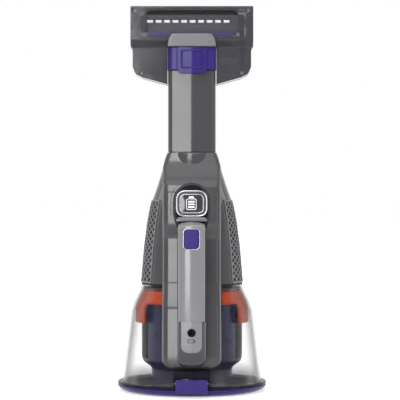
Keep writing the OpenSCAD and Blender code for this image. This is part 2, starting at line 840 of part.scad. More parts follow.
// Line of the grip's outer face as [y, z], from the crossbar down
grip_outer = [
  [root_y, grip_top], [-handle_reach + 13, grip_top],
  [-handle_reach + 5.5, grip_top - 1.8], [-handle_reach + 1.4, grip_top - 5],
  [-handle_reach, grip_top - 9], [-handle_reach, grip_z0]
];

// Line where the two halves of the grip meet
grip_seam = [
  [grip_mid, grip_z0], [grip_mid, grip_top - 18],
  [grip_mid + 3, grip_top - 10], [grip_mid + 9, grip_top - 6.4], [root_y, grip_top - 5.4]
];

// Line of the face that the fingers close around
grip_inside = [
  [root_y, grip_top - root_t], [grip_back + 20, grip_top - root_t],
  [grip_back + 10, grip_top - root_t - 3], [grip_back + 3, grip_top - root_t - 9],
  [grip_back, grip_top - root_t - 20], [grip_back, grip_z0 + 24], [grip_back + 3, grip_z0 + 15]
];

module grip_section(outline, half) {
  side_prism(outline, 2 * half);
}

// Hollow inside the straight part of the grip
module grip_hollow() {
  box(-handle_w / 2 + 3.4, handle_w / 2 - 3.4, -handle_reach + 2.4, grip_back - 2.4, grip_z0 + 4, grip_top - 6.4);
}

power_z0 = grip_top - 29.5;
power_z1 = power_z0 + power_h;
power_mid = (power_z0 + power_z1) / 2;
power_t = 4.4;      // from the grip's face to the button's back

module power_shape(grow) {
  translate([0, power_mid]) round_rect(power_w + 2 * grow, power_h + 2 * grow, 4.5 + grow);
}

module rounded_grip_mask() {
  // softens the long front edges of the straight grip
  r = 7;
  translate([0, 0, grip_z0 - 1]) linear_extrude(grip_top - grip_z0 + 2) {
    translate([-grip_half, -handle_reach + r]) square([2 * grip_half, handle_reach]);
    translate([-grip_half + r, -handle_reach]) square([2 * (grip_half - r), r + eps]);
    for (s = [-1, 1])
      translate([s * (grip_half - r), -handle_reach + r]) circle(r = r);
  }
}

module handle_grip() color(silver)
  difference() {
    intersection() {
      grip_section(concat(grip_outer, grip_seam), grip_half);
      rounded_grip_mask();
    }
    grip_hollow();
    front_prism(-handle_reach - 5, grip_mid) power_shape(gap);
  }

module handle_inner() color(dark)
  difference() {
    grip_section(concat(reversed(grip_seam), [[spine_y(grip_z0), grip_z0], [spine_y(grip_z0 + 11), grip_z0 + 11]],
      reversed(grip_inside)), handle_w / 2);
    grip_hollow();
  }

// Front of the spine at a height, just clear of it
function spine_y(z) = lookup(z, [for (p = reversed(spine_front)) [p[1], p[0]]]);

module power_button() color(purple) {
  front_prism(-handle_reach - 1, -handle_reach + power_t) power_shape(0);
  // flange that keeps it behind the grip's wall
  front_prism(-handle_reach + 2.4 + gap, -handle_reach + power_t) power_shape(1.2);
}

// Plane that the back of the button reaches when it is pressed
power_stop = -handle_reach + power_t + power_travel + gap;

module power_switch() color("#303034") {
  box(-6, 6, power_stop + 2.4, grip_back - 2.4, power_mid - 5, power_mid + 5);
  box(-1.5, 1.5, power_stop, power_stop + 3, power_mid - 1.5, power_mid + 1.5);
}

module power_spring() color("#c8c8cc")
  // a bent leaf beside the switch, clear of the pressed button
  for (s = [-1, 1]) {
    translate([0, 0, power_mid + s * 7.2])
      box(-4, 4, power_stop + 0.4, grip_back - 2.4, -0.4, 0.4);
    translate([0, 0, power_mid + s * 8])
      box(-4, 4, power_stop, power_stop + 0.6, -1.2, 1.2);
  }

foot_z0 = spine_z0 + 2.6;
panel_half = 11.6;
panel_z0 = foot_z0 + 18.6;
panel_t = 2;
socket_z = panel_z0 + 22.2;
socket_r = 2.75;
socket_len = 9.5;

// Front line of the foot as [y, z]
foot_front = [
  [-handle_reach, grip_z0 - 0.1], [-handle_reach, panel_z0 + 2], [-handle_reach + 1.4, panel_z0 - 6],
  [-handle_reach + 5.4, foot_z0 + 6], [-handle_reach + 11.4, foot_z0 + 1.2], [-handle_reach + 17, foot_z0]
];

module handle_foot() color("#6a6a6c")
  difference() {
    side_prism(concat(foot_front, [
      [spine_foot_y, foot_z0], [spine_foot_y, bowl_waist_z - 47],
      [-bowl_waist_r - 12, bowl_waist_z - 22], [spine_y(grip_z0 - 0.1), grip_z0 - 0.1]
    ]), handle_w);
    front_prism(-handle_reach - 5, -handle_reach + panel_t) panel_shape(0.05);
    translate([0, 0, socket_z]) y_cylinder(socket_r + 2.05, -handle_reach, -handle_reach + socket_len + 2);
  }

module panel_shape(grow) {
  half = panel_half + grow;
  r = 7;
  translate([-half, panel_z0 + r]) square([2 * half, grip_z0 - 0.1 - panel_z0 - r]);
  translate([-half + r, panel_z0]) square([2 * half - 2 * r, r + 1]);
  for (s = [-1, 1])
    translate([s * (half - r), panel_z0 + r]) circle(r = r);
}

module charge_panel() color("#dcdcde")
  difference() {
    front_prism(-handle_reach, -handle_reach + panel_t) panel_shape(0);
    translate([0, 0, socket_z]) y_cylinder(socket_r + 2, -handle_reach - 1, -handle_reach + panel_t + 1);
  }

module charge_socket() color("#1c1c1e")
  translate([0, 0, socket_z]) difference() {
    y_cylinder(socket_r + 2, -handle_reach, -handle_reach + socket_len + 2);
    y_cylinder(socket_r, -handle_reach - 1, -handle_reach + socket_len);
  }

// ---------- brush head ----------

head_front = -28;
wing_front = -20;
head_split = -2;
head_back = 15;
brush_y = 1;
brush_z = head_z1 - 16;
notch_half = nozzle_half + 0.9;
wing_corner = 12;

// Front outline of the head: a box with two wings around the collar
module head_shape(d) {
  difference() {
    union() {
      translate([-head_half + d, head_z0]) square([2 * (head_half - d), head_h - d]);
      polygon([
        [-wing_half + d, head_z0 + 1], [-wing_half + d, wing_z0 + 21 + d],
        [-wing_half + 3.2 + d, wing_z0 + 13 + d], [-wing_half + wing_corner + d, wing_z0 + 8.5 + d],
        [-notch_half + 2, wing_z0 + d], [notch_half - 2, wing_z0 + d],
        [wing_half - wing_corner - d, wing_z0 + 8.5 + d], [wing_half - 3.2 - d, wing_z0 + 13 + d],
        [wing_half - d, wing_z0 + 21 + d], [wing_half - d, head_z0 + 1]
      ]);
    }
    translate([-notch_half - d, wing_z0 - 5]) square([2 * (notch_half + d), head_z0 + 1.5 + d - wing_z0 + 5]);
  }
}

// Side outline of the cover: the box stands further out than the wings
function cover_side(d) = [
  [head_split + 1, head_z1 + 5], [head_front + d, head_z1 + 5], [head_front + d, head_z0 + 8 + d / 2],
  [wing_front + d, head_z0 + d / 2], [wing_front + d, wing_z0 - 5], [head_split + 1, wing_z0 - 5]
];

module head_volume(d) {
  intersection() {
    front_prism(head_front, head_split) head_shape(d);
    side_prism(cover_side(d), 3 * head_half);
  }
}

window_half = 53.5;
window_z0 = head_z0 + 12.5;
window_z1 = head_z1 - 3.8;

module window_shape(grow) {
  r = 7;
  translate([0, (window_z0 + window_z1) / 2])
    round_rect(2 * (window_half + grow), window_z1 - window_z0 + 2 * grow, r);
}

head_screw_spots = [[head_half - 5.6, head_z1 - 5.2], [wing_half - 10.6, wing_z0 + 13.4]];

module at_head_screws() {
  for (p = head_screw_spots, s = [-1, 1])
    translate([s * p[0], 0, p[1]]) children();
}

function screw_face(p) = p[1] > head_z0 ? head_front : wing_front;

module head_cover() color(smoke, 0.8)
  difference() {
    union() {
      difference() {
        head_volume(0);
        head_volume(head_wall);
        // open back and the gap over the collar
        translate([0, 0.5, 0]) front_prism(head_split - 1, head_split + 1) head_shape(head_wall);
      }
      for (p = head_screw_spots, s = [-1, 1])
        translate([s * p[0], 0, p[1]]) y_cylinder(2.6, screw_face(p), head_split);
    }
    front_prism(head_front - 1, head_front + head_wall + 1) window_shape(0);
    for (p = head_screw_spots, s = [-1, 1])
      translate([s * p[0], 0, p[1]]) {
        y_cylinder(1.2, screw_face(p) - 1, head_split + 1);
        y_cylinder(2, screw_face(p) - 1, screw_face(p) + 1.4);
      }
    neck_clearance();
  }

// Room for the socket, the collar and the shoulder in front of them
module neck_clearance() {
  front_prism(head_front - 8, wing_front + 6) shoulder_shape(0.1);
  translate([0, 0, wing_z0 - 5]) linear_extrude(sleeve_z1 + 4 - wing_z0 + 5)
    tube_section(notch_half, nozzle_front + 4);
}

module head_sole() color("#606066")
  difference() {
    front_prism(head_split, head_back) head_shape(0);
    front_prism(head_split - 1, head_back - head_wall) head_shape(head_wall);
    // mouth for the brush
    box(-60, 63.5, head_back - 5, head_back + 1, brush_z - 14.8, head_z1 - head_wall - 0.2);
    at_head_screws() y_cylinder(1.2, head_split - 1, head_back - 6);
    // the tube stands in the notch
    translate([0, 0, wing_z0 - 5]) linear_extrude(sleeve_z1 + 4 - wing_z0 + 5)
      tube_section(notch_half, nozzle_front + 4);
  }

module head_window() color("#9a9aa4", 0.4)
  front_prism(head_front, head_front + 1.6) window_shape(-0.1);

guard_y = brush_y - bristle_r - 3;
guard_z0 = brush_z - 14;
guard_z1 = brush_z + 7;
tuft_x0 = -48.5;
tuft_w = 7.6;

module brush_guard() color("#58575f")
  difference() {
    union() {
      front_prism(guard_y - 2, guard_y) translate([0, (guard_z0 + guard_z1) / 2])
        round_rect(2 * (window_half + 6), guard_z1 - guard_z0, 3);
      // legs back to the cover's inner face
      for (s = [-1, 1])
        box(s * (window_half + 4) - 2, s * (window_half + 4) + 2, head_front + head_wall, guard_y - 1, guard_z0 + 4, guard_z1 - 4);
    }
    for (i = [0:tufts - 1])
      translate([tuft_x0 + i * tuft_pitch, guard_y - 1, brush_z])
        cube([tuft_w, 6, 4.7], center = true);
  }

module shoulder_shape(grow) {
  polygon([
    [-23.2 - grow, window_z0 + 3], [23.2 + grow, window_z0 + 3],
    [27 + grow, head_z0 + 9], [notch_half - 0.2, head_z0 + 0.5],
    [-notch_half + 0.2, head_z0 + 0.5], [-27 - grow, head_z0 + 9]
  ]);
}

module neck_shoulder() color("#808084")
  difference() {
    front_prism(head_front - 4, wing_front + 5.8) shoulder_shape(0);
    front_prism(head_front - 9, head_front + 1.8) window_shape(0);
    // stands in front of the socket
    translate([0, 0, nozzle_z1]) linear_extrude(sleeve_z1 + 4 - nozzle_z1)
      tube_section(socket_half + 0.1, socket_front + 0.1);
  }

socket_half = sleeve_half + 0.35 + 2.2;
socket_front = sleeve_front + 0.35 + 2.2;
collar_front = 28.5;
collar_z0 = nozzle_z1 + gap;
collar_z1 = head_z0 + 0.2;

module neck_socket() color("#4c4c50") {
  translate([0, 0, collar_z0]) tube(socket_half, socket_front, 2.2, sleeve_z1 + 2 - collar_z0, 5.4);
  // lip that stops the sleeve
  translate([0, 0, sleeve_z1 + 1.9]) linear_extrude(2) difference() {
    tube_section(socket_half, socket_front);
    tube_section(sleeve_half - nozzle_wall, sleeve_front - nozzle_wall, 4);
  }
}

release_half = 17.3;
release_z0 = nozzle_z1 - 3.5;
release_z1 = head_z0;
release_t = 2.4;
release_front = collar_front + 1.7;

module release_shape(grow) {
  translate([0, (release_z0 + release_z1) / 2])
    round_rect(2 * (release_half + grow), release_z1 - release_z0 + 2 * grow, 5);
}

module release_collar() color(purple_light)
  difference() {
    translate([0, 0, collar_z0]) linear_extrude(collar_z1 - collar_z0) difference() {
      tube_section(nozzle_half + 0.5, collar_front);
      tube_section(socket_half + run_gap, socket_front + run_gap);
    }
    front_prism(-40, -release_front + release_t + release_travel + gap) release_shape(gap);
  }

module release_button() color(purple)
  difference() {
    union() {
      front_prism(-release_front, -release_front + release_t) release_shape(0);
      front_prism(-release_front - 1.2, -release_front + 1) translate([0, (release_z0 + release_z1) / 2 + 1])
        round_rect(2 * release_half - 13, release_z1 - release_z0 - 11, 3);
    }
    front_prism(-release_front - 3, -release_front) translate([0, (release_z0 + release_z1) / 2 + 1])
      round_rect(2 * release_half - 16, release_z1 - release_z0 - 14, 2);
  }

module release_spring() color("#c8c8cc")
  // a flat leaf in the collar, clear of the pressed button
  box(-9, 9, -release_front + release_t + release_travel + gap - 0.1, -release_front + release_t + release_travel + gap,
    collar_z0 + 6, collar_z0 + 16);

chamber_z = sleeve_z1 + 4;
chamber_t = 2;

module chamber_wall() color("#47474b")
  difference() {
    box(-wing_half + head_wall + 2, wing_half - head_wall - 2, head_front + head_wall + 0.1, head_back - head_wall - 0.1,
      chamber_z, chamber_z + chamber_t);
    translate([0, 0, chamber_z - 1]) linear_extrude(5)
      tube_section(sleeve_half - nozzle_wall, sleeve_front - nozzle_wall, 4);
    // slot for the belt
    box(belt_x0 - 1, belt_x1 + 1, -17, 12, chamber_z - 1, chamber_z + 4);
    // the guard's and the shoulder's own room
    front_prism(head_front - 9, wing_front + 9) shoulder_shape(0.3);
  }

module left_baffle() color("#575561")
  front_prism(wing_front + head_wall + 0.1, wing_front + head_wall + 2) polygon([
    [-wing_half + 7.6, head_z0 - 1], [-wing_half + 7.6, wing_z0 + 24], [-wing_half + 12, wing_z0 + 16],
    [-notch_half - 3, wing_z0 + 8], [-notch_half - 3, head_z0 - 1]
  ]);

pinion_y = -6;
pinion_z = nozzle_z1 + 11;
belt_x0 = 56;
belt_x1 = 61;
pulley_r = 7;
pinion_r = 3.5;
head_motor_r = 9.5;

module head_motor() color("#a9adb3")
  translate([0, pinion_y, pinion_z]) difference() {
    union() {
      x_cylinder(head_motor_r, 31.5, 52);
      x_cylinder(3, 52 - eps, 53.5);
    }
    x_cylinder(1 + run_gap, 40, 60);
  }

module motor_clamp() color("#6d6c70")
  translate([0, pinion_y, pinion_z]) difference() {
    box(36, 48, -head_motor_r - 2, 12.6 - pinion_y, -head_motor_r - 1.6, head_motor_r + 1.6);
    x_cylinder(head_motor_r + run_gap, 30, 60);
    box(30, 60, -20, 0, -head_motor_r - 5, head_motor_r + 5);
  }

module motor_pinion() color("#d9cfae")
  translate([0, pinion_y, pinion_z]) {
    x_cylinder(pinion_r, belt_x0 - 0.5, belt_x1 + 0.5);
    x_cylinder(1, 42, belt_x1 + 0.5);
  }

belt_t = 1.2;

module belt_loop(d) {
  hull() {
    translate([brush_y, brush_z]) circle(r = pulley_r + gap + d, $fn = 48);
    translate([pinion_y, pinion_z]) circle(r = pinion_r + gap + d, $fn = 32);
  }
}

module drive_belt() color("#1e1e20")
  translate([belt_x0, 0, 0]) rotate([90, 0, 90]) linear_extrude(belt_x1 - belt_x0) difference() {
    belt_loop(belt_t);
    belt_loop(0);
  }

journal_r = 2.5;
brush_x0 = -57;
brush_x1 = 54;
bearing_left = -59;
bearing_right = 62.5;

module brush_core() color("#33265f")
  translate([0, brush_y, brush_z]) {
    x_cylinder(brush_r, brush_x0, brush_x1);
    x_cylinder(journal_r, bearing_left - 4, bearing_right + 4);
    x_cylinder(pulley_r, belt_x0 - 0.5, belt_x1 + 0.5);
  }

tuft_t = 3.4;

module brush_bristles() color("#f2f0f4")
  translate([0, brush_y, brush_z]) difference() {
    union() {
      for (a = [0:90:270], i = [0:tufts - 1])
        rotate([a, 0, 0])
          translate([tuft_x0 + i * tuft_pitch - tuft_w / 2, -bristle_r, -tuft_t / 2])
            cube([tuft_w - 0.6, bristle_r - brush_r + 1, tuft_t]);
    }
    x_cylinder(brush_r, brush_x0 - 1, brush_x1 + 1);
  }

module brush_bearings() color("#cfcfd4")
  difference() {
    union() {
      box(-head_half + head_wall, bearing_left, brush_y - 6, brush_y + 6, brush_z - 6, brush_z + 6);
      box(bearing_right, head_half - head_wall, brush_y - 6, brush_y + 6, brush_z - 6, brush_z + 6);
    }
    translate([0, brush_y, brush_z]) {
      x_cylinder(journal_r + run_gap, bearing_left - 4.5, bearing_left + 1);
      x_cylinder(journal_r + run_gap, bearing_right - 1, bearing_right + 4.5);
    }
  }

module head_contacts() color("#c9a44a") contact_pad(sleeve_z1 + 1.3, sleeve_z1 + 1.9);

module head_screws() color("#2c2c2e")
  for (p = head_screw_spots, s = [-1, 1])
    translate([s * p[0], 0, p[1]]) difference() {
      union() {
        y_cylinder(2, screw_face(p) + 0.2, screw_face(p) + 1.4);
        y_cylinder(1.2, screw_face(p) + 1, head_split + 6);
      }
      box(-1.2, 1.2, screw_face(p), screw_face(p) + 0.8, -0.3, 0.3);
      box(-0.3, 0.3, screw_face(p), screw_face(p) + 0.8, -1.2, 1.2);
    }

lid_cover();
lid_seal();
lid_latch();
dust_bowl();
hinge_pin();
latch_bracket();
latch_pin();
bowl_seal();
filter_ring();
filter_shroud();
pleated_filter();
filter_seal();
front_shell();
rear_shell();
side_grille_left();
side_grille_right();
shell_screws();
nozzle_tube();
nozzle_contacts();
inlet_duct();
bulkhead();
fan_housing();
impeller();
motor_can();
motor_damper();
battery_cells();
battery_holder();
main_board();
display_bezel();
display_lens();
display_board();
crossbar();
handle_grip();
handle_inner();
handle_foot();
charge_panel();
charge_socket();
power_button();
power_switch();
power_spring();
head_cover();
head_sole();
head_window();
brush_guard();
neck_shoulder();
neck_socket();
release_collar();
release_button();
release_spring();
chamber_wall();
left_baffle();
head_motor();
motor_clamp();
drive_belt();
brush_bearings();
head_contacts();
head_screws();
brush_core();
brush_bristles();
motor_pinion();
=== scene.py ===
# %% [markdown]
# # A cordless hand vacuum wearing its motorised brush head
# The vacuum stands upright on the lid of its dust bowl, with the handle towards the viewer. The packed
# CAD model is the frame: it fixes where everything is and what moves. This lesson puts the looks on it:
# softer shapes than CAD gives, and a finish for each plastic, metal, rubber and paper.
# Lengths in the helpers are millimetres, because that is how such a product is drawn; Blender gets metres.

# %% Load the frame
import json
import math
import random

import bmesh
import bpy
from mathutils import Matrix, Vector

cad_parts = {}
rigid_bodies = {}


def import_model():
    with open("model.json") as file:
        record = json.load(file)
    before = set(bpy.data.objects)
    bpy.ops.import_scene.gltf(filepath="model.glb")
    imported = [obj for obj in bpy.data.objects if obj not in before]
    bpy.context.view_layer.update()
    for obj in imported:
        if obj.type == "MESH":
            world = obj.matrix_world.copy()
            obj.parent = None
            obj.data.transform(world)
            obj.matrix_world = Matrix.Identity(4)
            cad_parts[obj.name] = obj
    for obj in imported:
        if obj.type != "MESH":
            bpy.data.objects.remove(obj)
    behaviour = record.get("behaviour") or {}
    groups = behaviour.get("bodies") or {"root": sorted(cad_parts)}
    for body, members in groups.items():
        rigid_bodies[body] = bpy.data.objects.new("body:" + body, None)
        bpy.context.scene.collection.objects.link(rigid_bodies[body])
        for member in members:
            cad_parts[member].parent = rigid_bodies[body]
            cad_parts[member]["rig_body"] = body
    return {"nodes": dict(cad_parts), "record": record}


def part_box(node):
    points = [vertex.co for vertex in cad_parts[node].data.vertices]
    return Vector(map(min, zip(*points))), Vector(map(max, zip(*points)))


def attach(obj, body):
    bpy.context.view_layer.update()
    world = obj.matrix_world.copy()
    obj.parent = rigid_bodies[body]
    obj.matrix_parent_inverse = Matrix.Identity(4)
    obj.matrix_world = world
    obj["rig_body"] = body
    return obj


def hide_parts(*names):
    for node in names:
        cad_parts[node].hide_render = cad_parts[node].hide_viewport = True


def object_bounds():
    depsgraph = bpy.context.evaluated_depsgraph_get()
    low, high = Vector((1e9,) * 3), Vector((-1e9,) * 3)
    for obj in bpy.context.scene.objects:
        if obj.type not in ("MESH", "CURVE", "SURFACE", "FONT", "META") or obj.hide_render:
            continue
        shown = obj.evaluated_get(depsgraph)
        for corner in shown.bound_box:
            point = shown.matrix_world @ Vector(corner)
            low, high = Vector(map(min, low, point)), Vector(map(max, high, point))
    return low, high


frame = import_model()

MM = 0.001
NODES = frame["nodes"]
CAD_BOUNDS = [[float(v) for v in corner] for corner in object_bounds()]


def span(node):
    """The lowest and highest corner of a CAD node, in millimetres."""
    low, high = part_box(node)
    return low / MM, high / MM


def body_of(node):
    return NODES[node]["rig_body"]


# %% [markdown]
# ## Effects that several finishes share
# Moulded plastic is never perfectly even. Three effects are worth a node group each, so that every
# finish can set its own amount:
#
# - **Moulding grain**: a fine noise for a Bump node, and a slow one that varies the roughness.
# - **Rubbed edges**: convex edges get lighter from handling. Pointiness finds them without extra geometry.
# - **Settled dust**: a soft mask that is stronger where a face looks up.

# %% Node group helpers
def new_group(name, inputs, outputs):
    """A shader node group with named sockets; a number is a float's default, a tuple a colour's."""
    group = bpy.data.node_groups.new(name, "ShaderNodeTree")
    for socket, default in inputs.items():
        kind = "NodeSocketColor" if isinstance(default, tuple) else "NodeSocketFloat"
        group.interface.new_socket(socket, in_out="INPUT", socket_type=kind).default_value = default
    for socket, kind in outputs.items():
        group.interface.new_socket(socket, in_out="OUTPUT", socket_type=kind)
    return group, group.nodes.new("NodeGroupInput"), group.nodes.new("NodeGroupOutput")


def node(tree, kind, inputs=None, **settings):
    """Adds a node; inputs holds values or the sockets that feed it."""
    made = tree.nodes.new(kind)
    for key, value in settings.items():
        setattr(made, key, value)
    for key, value in (inputs or {}).items():
        if isinstance(value, bpy.types.NodeSocket):
            tree.links.new(value, made.inputs[key])
        else:
            made.inputs[key].default_value = value
    return made


def math_node(tree, operation, a, b=0.0, clamp=False):
    return node(tree, "ShaderNodeMath", {0: a, 1: b}, operation=operation, use_clamp=clamp).outputs[0]


def in_object(tree):
    """Texture coordinates that stay with the piece when it moves."""
    return node(tree, "ShaderNodeTexCoord").outputs["Object"]


def noise(tree, scale, detail):
    made = node(tree, "ShaderNodeTexNoise", {"Vector": in_object(tree), "Scale": scale, "Detail": detail})
    return made.outputs["Fac"]


def clamped(tree, value, **limits):
    """A Map Range node; from_min=0.1 sets its socket From Min, and so on."""
    sockets = {key.replace("_", " ").title(): limit for key, limit in limits.items()}
    return node(tree, "ShaderNodeMapRange", {"Value": value, **sockets}, clamp=True).outputs[0]


# %% Moulding grain
def make_grain():
    group, entry, leave = new_group(
        "Moulding grain", {"Grain Scale": 2500.0, "Patch Scale": 30.0},
        {"Height": "NodeSocketFloat", "Patches": "NodeSocketFloat"})
    group.links.new(noise(group, entry.outputs["Grain Scale"], 3.0), leave.inputs["Height"])
    group.links.new(noise(group, entry.outputs["Patch Scale"], 4.0), leave.inputs["Patches"])
    return group


GRAIN = make_grain()


# %% Rubbed edges
def make_rub():
    group, entry, leave = new_group("Rubbed edges", {"Amount": 0.3}, {"Mask": "NodeSocketFloat"})
    edge = node(group, "ShaderNodeNewGeometry").outputs["Pointiness"]
    sharp = clamped(group, edge, from_min=0.52, from_max=0.62)
    broken = math_node(group, "MULTIPLY", sharp, noise(group, 160.0, 5.0))
    mask = math_node(group, "MULTIPLY", broken, entry.outputs["Amount"], clamp=True)
    group.links.new(mask, leave.inputs["Mask"])
    return group


RUB = make_rub()


# %% Settled dust
def make_dust():
    group, entry, leave = new_group("Settled dust", {"Amount": 0.1}, {"Mask": "NodeSocketFloat"})
    normal = node(group, "ShaderNodeNewGeometry").outputs["Normal"]
    up = node(group, "ShaderNodeSeparateXYZ", {0: normal}).outputs["Z"]
    looks_up = clamped(group, up, from_min=0.1, from_max=1.0)
    soft = math_node(group, "MULTIPLY", looks_up, noise(group, 90.0, 6.0))
    mask = math_node(group, "MULTIPLY", soft, entry.outputs["Amount"], clamp=True)
    group.links.new(mask, leave.inputs["Mask"])
    return group


DUST = make_dust()
print("node groups:", [g.name for g in (GRAIN, RUB, DUST)])


# %% [markdown]
# ## Finishes
# Each material slot of the record gets one material. Nearly all of them are an injection-moulded
# plastic, so one recipe builds them: a base colour that lightens where edges are rubbed and dulls where
# dust settles, roughness that drifts a little, and a very fine bump. Clear parts use the same recipe, with
# an Alpha that rises towards their edges. The bristles get some emission, a stand-in for light that the
# lamps don't bring behind the window; at 0 they are plain white plastic.

# %% Colours
def linear(code):
    """A colour written as #rrggbb, turned into the linear values that a shader takes."""
    parts = [int(code[i:i + 2], 16) / 255 for i in (1, 3, 5)]
    return tuple(c / 12.92 if c <= 0.04045 else ((c + 0.055) / 1.055) ** 2.4 for c in parts) + (1.0,)


# %% The moulded recipe
FINISH = {}
DUST_COLOUR = linear("#a8a49c")
BUMP_DEPTH, COAT_ROUGHNESS, PLASTIC_IOR = 0.00002, 0.04, 1.5


def moulded(slot, colour, rough=0.3, rub=0.25, dust=0.08, grain=0.02, scale=2500.0, drift=0.08,
            metal=0.0, coat=0.0, sheen=0.0, glow=0.0, shine=0.5):
    """Builds the material of one slot."""
    material = bpy.data.materials.new(slot)
    material.use_nodes = True
    tree = material.node_tree
    shader = tree.nodes["Principled BSDF"]
    grains = node(tree, "ShaderNodeGroup", node_tree=GRAIN)
    grains.inputs["Grain Scale"].default_value = scale
    edges = node(tree, "ShaderNodeGroup", node_tree=RUB)
    edges.inputs["Amount"].default_value = rub
    dusty = node(tree, "ShaderNodeGroup", node_tree=DUST)
    dusty.inputs["Amount"].default_value = dust
    base = linear(colour)
    worn = tuple(min(1.0, 0.6 * c + 0.22) for c in base[:3]) + (1.0,)
    rubbed = node(tree, "ShaderNodeMix", {0: edges.outputs["Mask"], 6: base, 7: worn}, data_type="RGBA")
    dulled = node(tree, "ShaderNodeMix", {0: dusty.outputs["Mask"], 6: rubbed.outputs[2], 7: DUST_COLOUR},
                  data_type="RGBA")
    tree.links.new(dulled.outputs[2], shader.inputs["Base Color"])
    spread = clamped(tree, grains.outputs["Patches"], from_min=0.3, from_max=0.7,
                     to_min=max(0.02, rough - drift), to_max=min(1.0, rough + drift))
    tree.links.new(spread, shader.inputs["Roughness"])
    bumped = node(tree, "ShaderNodeBump", {"Strength": grain * 10, "Distance": BUMP_DEPTH,
                                           "Height": grains.outputs["Height"]})
    tree.links.new(bumped.outputs[0], shader.inputs["Normal"])
    constants = {"Metallic": metal, "Specular IOR Level": shine, "IOR": PLASTIC_IOR, "Coat Weight": coat,
                 "Coat Roughness": COAT_ROUGHNESS, "Sheen Weight": sheen, "Transmission Weight": 0.0}
    if glow:
        constants.update({"Emission Color": base, "Emission Strength": glow})
    for socket, value in constants.items():
        shader.inputs[socket].default_value = value
    FINISH[slot] = material


# %% Opaque plastics
moulded("gunmetal_plastic", "#3b3b3e", rough=0.17, drift=0.04, rub=0.10, dust=0.03, grain=0.006, shine=0.42)
moulded("silver_plastic", "#7a7a7e", rough=0.13, drift=0.02, rub=0.10, dust=0.03, grain=0.006)
moulded("pale_plastic", "#707074", rough=0.10, drift=0.02, rub=0.1, dust=0.03, grain=0.006, metal=0.4)
moulded("soft_grip", "#303033", rough=0.62, drift=0.06, rub=0.12, grain=0.05, scale=1400.0, sheen=0.1,
        shine=0.3)
moulded("purple_plastic", "#32256f", rough=0.24, drift=0.05, rub=0.12, dust=0.03, grain=0.01, shine=0.16)
moulded("black_plastic", "#0c0c0e", rough=0.36, rub=0.10, dust=0.04, grain=0.03, shine=0.08)
moulded("black_rubber", "#161618", rough=0.72, rub=0.05, dust=0.12, grain=0.06, scale=1800.0, shine=0.25)
moulded("grille_grey", "#545458", rough=0.3, rub=0.3, dust=0.10, grain=0.02, shine=0.35)
moulded("guard_grey", "#48474e", rough=0.34, rub=0.2, dust=0.06, grain=0.02, shine=0.25)
moulded("shoulder_grey", "#69696c", rough=0.26, drift=0.05, rub=0.12, dust=0.04, grain=0.01, shine=0.4)
moulded("baffle_grey", "#5b5868", rough=0.4, rub=0.12, dust=0.06, grain=0.02, shine=0.3)
moulded("white_plastic", "#e4e3de", rough=0.38, rub=0.05, dust=0.08, grain=0.02)
moulded("brush_purple", "#33267a", rough=0.32, rub=0.12, dust=0.05, grain=0.02, shine=0.3)
moulded("orange_plastic", "#c04418", rough=0.3, drift=0.05, rub=0.10, dust=0.02, grain=0.012, shine=0.08)
moulded("filter_screen", "#1e1b42", rough=0.3, drift=0.05, rub=0.1, dust=0.04, grain=0.02, shine=0.25)
moulded("filter_paper", "#e4e0d4", rough=0.85, rub=0.0, dust=0.3, grain=0.09, scale=1200.0, sheen=0.1)
moulded("white_bristle", "#efedf3", rough=0.5, rub=0.0, dust=0.08, grain=0.02, sheen=0.1, glow=0.4)
moulded("cell_wrap", "#3f7fb0", rough=0.3, rub=0.1, dust=0.05, grain=0.02)
moulded("circuit_board", "#1f5a3a", rough=0.35, rub=0.1, dust=0.08, grain=0.05, scale=900.0, coat=0.3)

# %% Metals
moulded("steel", "#c8c8cc", rough=0.28, metal=1.0, rub=0.1, dust=0.05, grain=0.02)
moulded("dark_steel", "#58585c", rough=0.38, metal=0.9, rub=0.3, dust=0.05, grain=0.02)
moulded("motor_steel", "#a9adb3", rough=0.32, metal=1.0, rub=0.1, dust=0.06, grain=0.04, scale=800.0)
moulded("brass", "#c9a44a", rough=0.25, metal=1.0, rub=0.1, dust=0.03, grain=0.02)
moulded("chrome_trim", "#a2a2a6", rough=0.14, drift=0.03, metal=0.9, rub=0.05, dust=0.02, grain=0.004)

# %% Clear plastics
moulded("clear_bowl", "#4a4a4e", rough=0.05, drift=0.02, rub=0.0, dust=0.0, grain=0.003)
moulded("window_clear", "#4a4950", rough=0.05, drift=0.02, rub=0.0, dust=0.0, grain=0.003)
moulded("smoke_clear", "#434249", rough=0.12, drift=0.03, rub=0.05, dust=0.0, grain=0.004, shine=0.28)
moulded("smoke_dark", "#1e1e28", rough=0.2, drift=0.03, rub=0.03, dust=0.0, grain=0.006, shine=0.06)
# This dark red-brown finish is painted shade: a darkened copy of the orange ring's colour, for the ring's top
# where the housing's edge shades it.
moulded("neck_painted_shade", "#4c2a2a", rough=0.3, rub=0.0, dust=0.0, grain=0.01, shine=0.2)
moulded("display_glass", "#1a1a1d", rough=0.06, drift=0.02, rub=0.0, dust=0.0, grain=0.002, coat=0.3)


def see_through(slot, face, rim, sharpness=2.0, smoke=None):
    """Thin clear walls: Alpha goes from face, where the wall is seen straight on, to rim at its edge.
    smoke is (low, high, alpha): heights in metres between which the alpha fades to that of the face."""
    tree = FINISH[slot].node_tree
    facing = node(tree, "ShaderNodeLayerWeight", {"Blend": 0.5}).outputs["Facing"]
    alpha = clamped(tree, math_node(tree, "POWER", facing, sharpness), to_min=face, to_max=rim)
    if smoke:
        height = node(tree, "ShaderNodeSeparateXYZ", {0: in_object(tree)}).outputs["Z"]
        low, high, dense = smoke
        foot = clamped(tree, height, from_min=low, from_max=high, to_min=dense, to_max=0.0)
        alpha = math_node(tree, "MAXIMUM", alpha, foot)
    tree.links.new(alpha, tree.nodes["Principled BSDF"].inputs["Alpha"])


